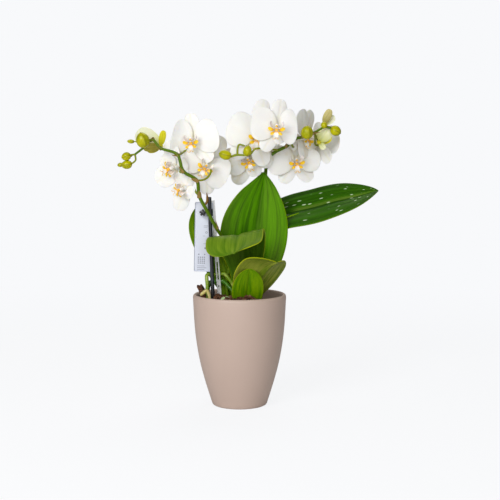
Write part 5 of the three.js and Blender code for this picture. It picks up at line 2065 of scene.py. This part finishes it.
@dataclass(frozen=True)
class Studio:
    """The pale floor and backdrop, the soft lights and the camera."""

    camera_at: Point = (0.0118, -1.25, 0.296)
    camera_drop: float = 5.5  # degrees below the horizon
    focal_pixels: float = 1116.0
    picture_pixels: float = 500.0
    sensor: float = 36.0
    floor_size: float = 60.0
    middle: Point = (0.0, 0.0, 0.17)  # what the lights are aimed at
    ambient: Colour = (0.23, 0.22, 0.2, 1.0)
    bounce: Colour = (0.75, 0.75, 0.76, 1.0)
    shadow: Colour = (0.16, 0.16, 0.16, 1.0)
    black: Colour = (0.0, 0.0, 0.0, 1.0)
    white: Colour = srgb(248, 249, 251)

    def camera(self) -> None:
        """Sets the camera at the photograph's view."""
        data = bpy.data.cameras.new("view")
        data.sensor_width = self.sensor
        data.lens = self.sensor * self.focal_pixels / self.picture_pixels
        camera = bpy.data.objects.new("view", data)
        camera.location = self.camera_at
        camera.rotation_euler = (math.radians(90 - self.camera_drop), 0, 0)
        bpy.context.scene.collection.objects.link(camera)
        bpy.context.scene.camera = camera

    def light(self, name: str, at: Point, size: float, watts: float, colour: Point) -> None:
        """Adds a soft square light aimed at the plant.

        Args:
            name: the light's name.
            at: its place, in metres.
            size: its side, in metres.
            watts: its power.
            colour: its colour.
        """
        data = bpy.data.lights.new(name, "AREA")
        data.size = size
        data.energy = watts
        data.color = colour
        lamp = bpy.data.objects.new(name, data)
        lamp.location = at
        lamp.rotation_euler = (Vector(at) - Vector(self.middle)).to_track_quat("Z", "Y").to_euler()
        bpy.context.scene.collection.objects.link(lamp)

    def floor(self) -> None:
        """Adds the floor: near white to the camera, with a faint shadow near the pot, partly real and partly
        painted shadow in its glow, and plain grey to other rays.
        """
        bpy.ops.mesh.primitive_plane_add(size=self.floor_size)
        piece = named("studio_floor")
        graph = Graph("studio_white", Specular_IOR_Level=0.0, Emission_Strength=1.0, Roughness=1.0)
        seen = graph.add("ShaderNodeLightPath").outputs["Is Camera Ray"]
        x, y, _ = graph.axes(graph.place())
        near = ((x * x + y * y) ** 0.5).between(1.1, 0.2)
        graph.wire("Base Color", graph.mix(seen, self.bounce, graph.mix(near, self.black, self.shadow)))
        # painted shadow: the white glow dims by up to 12 per cent toward the pot
        glow = graph.mix(near * 0.12, self.white, self.black)
        graph.wire("Emission Color", graph.mix(seen, self.black, glow))
        dressed(piece, graph.material)

    def sky(self) -> None:
        """Sets the world: the backdrop's white to the camera, and a dimmer light to the plant."""
        world = bpy.data.worlds.new("studio")
        world.use_nodes = True
        tree = world.node_tree
        path = tree.nodes.new("ShaderNodeLightPath")
        shade = tree.nodes.new("ShaderNodeMix")
        shade.data_type = "RGBA"
        shade.inputs[6].default_value = self.ambient
        shade.inputs[7].default_value = self.white
        tree.links.new(path.outputs["Is Camera Ray"], shade.inputs[0])
        tree.links.new(shade.outputs[2], tree.nodes["Background"].inputs["Color"])
        bpy.context.scene.world = world
        bpy.context.scene.view_settings.view_transform = "Standard"

    def build(self) -> None:
        """Sets up the floor, the sky, the camera and the lights."""
        self.floor()
        self.sky()
        self.camera()
        self.light("key", (-0.85, -1.45, 0.9), 0.8, 17.5, (1.0, 1.0, 1.0))
        self.light("fill", (0.1, -1.7, 0.6), 1.0, 9, (0.99, 0.995, 1.0))
        self.light("top", (0.2, 0.6, 1.4), 1.0, 6, (1.0, 1.0, 1.0))


def main() -> None:
    """Builds the whole plant and its studio."""
    logging.basicConfig(level=logging.INFO, format="%(name)s: %(message)s")
    front = Stake("stake_front", (-28.6, -18, 96), (-33.0, -18, 236.2), 2.1)
    rear = Stake("stake_rear", (-10, 35.5, 96), (25.2, 40, 262), 2.6)
    clips = (
        Clip("clip_front", front, 219, (-40.4, -17.2, 218.8), 3.6, 7),
        Clip("clip_rear", rear, 257.5, (20.4, 35.2, 262.4), 3.0, 6),
    )
    pot_and_bark = (Pot(), NurseryPot(), BarkMix(), Roots())
    for assembly in (*pot_and_bark, front, rear, *clips, Label(), *LEAVES, Spikes(), Flowers(), Studio()):
        assembly.build()


if __name__ == "__main__":
    main()
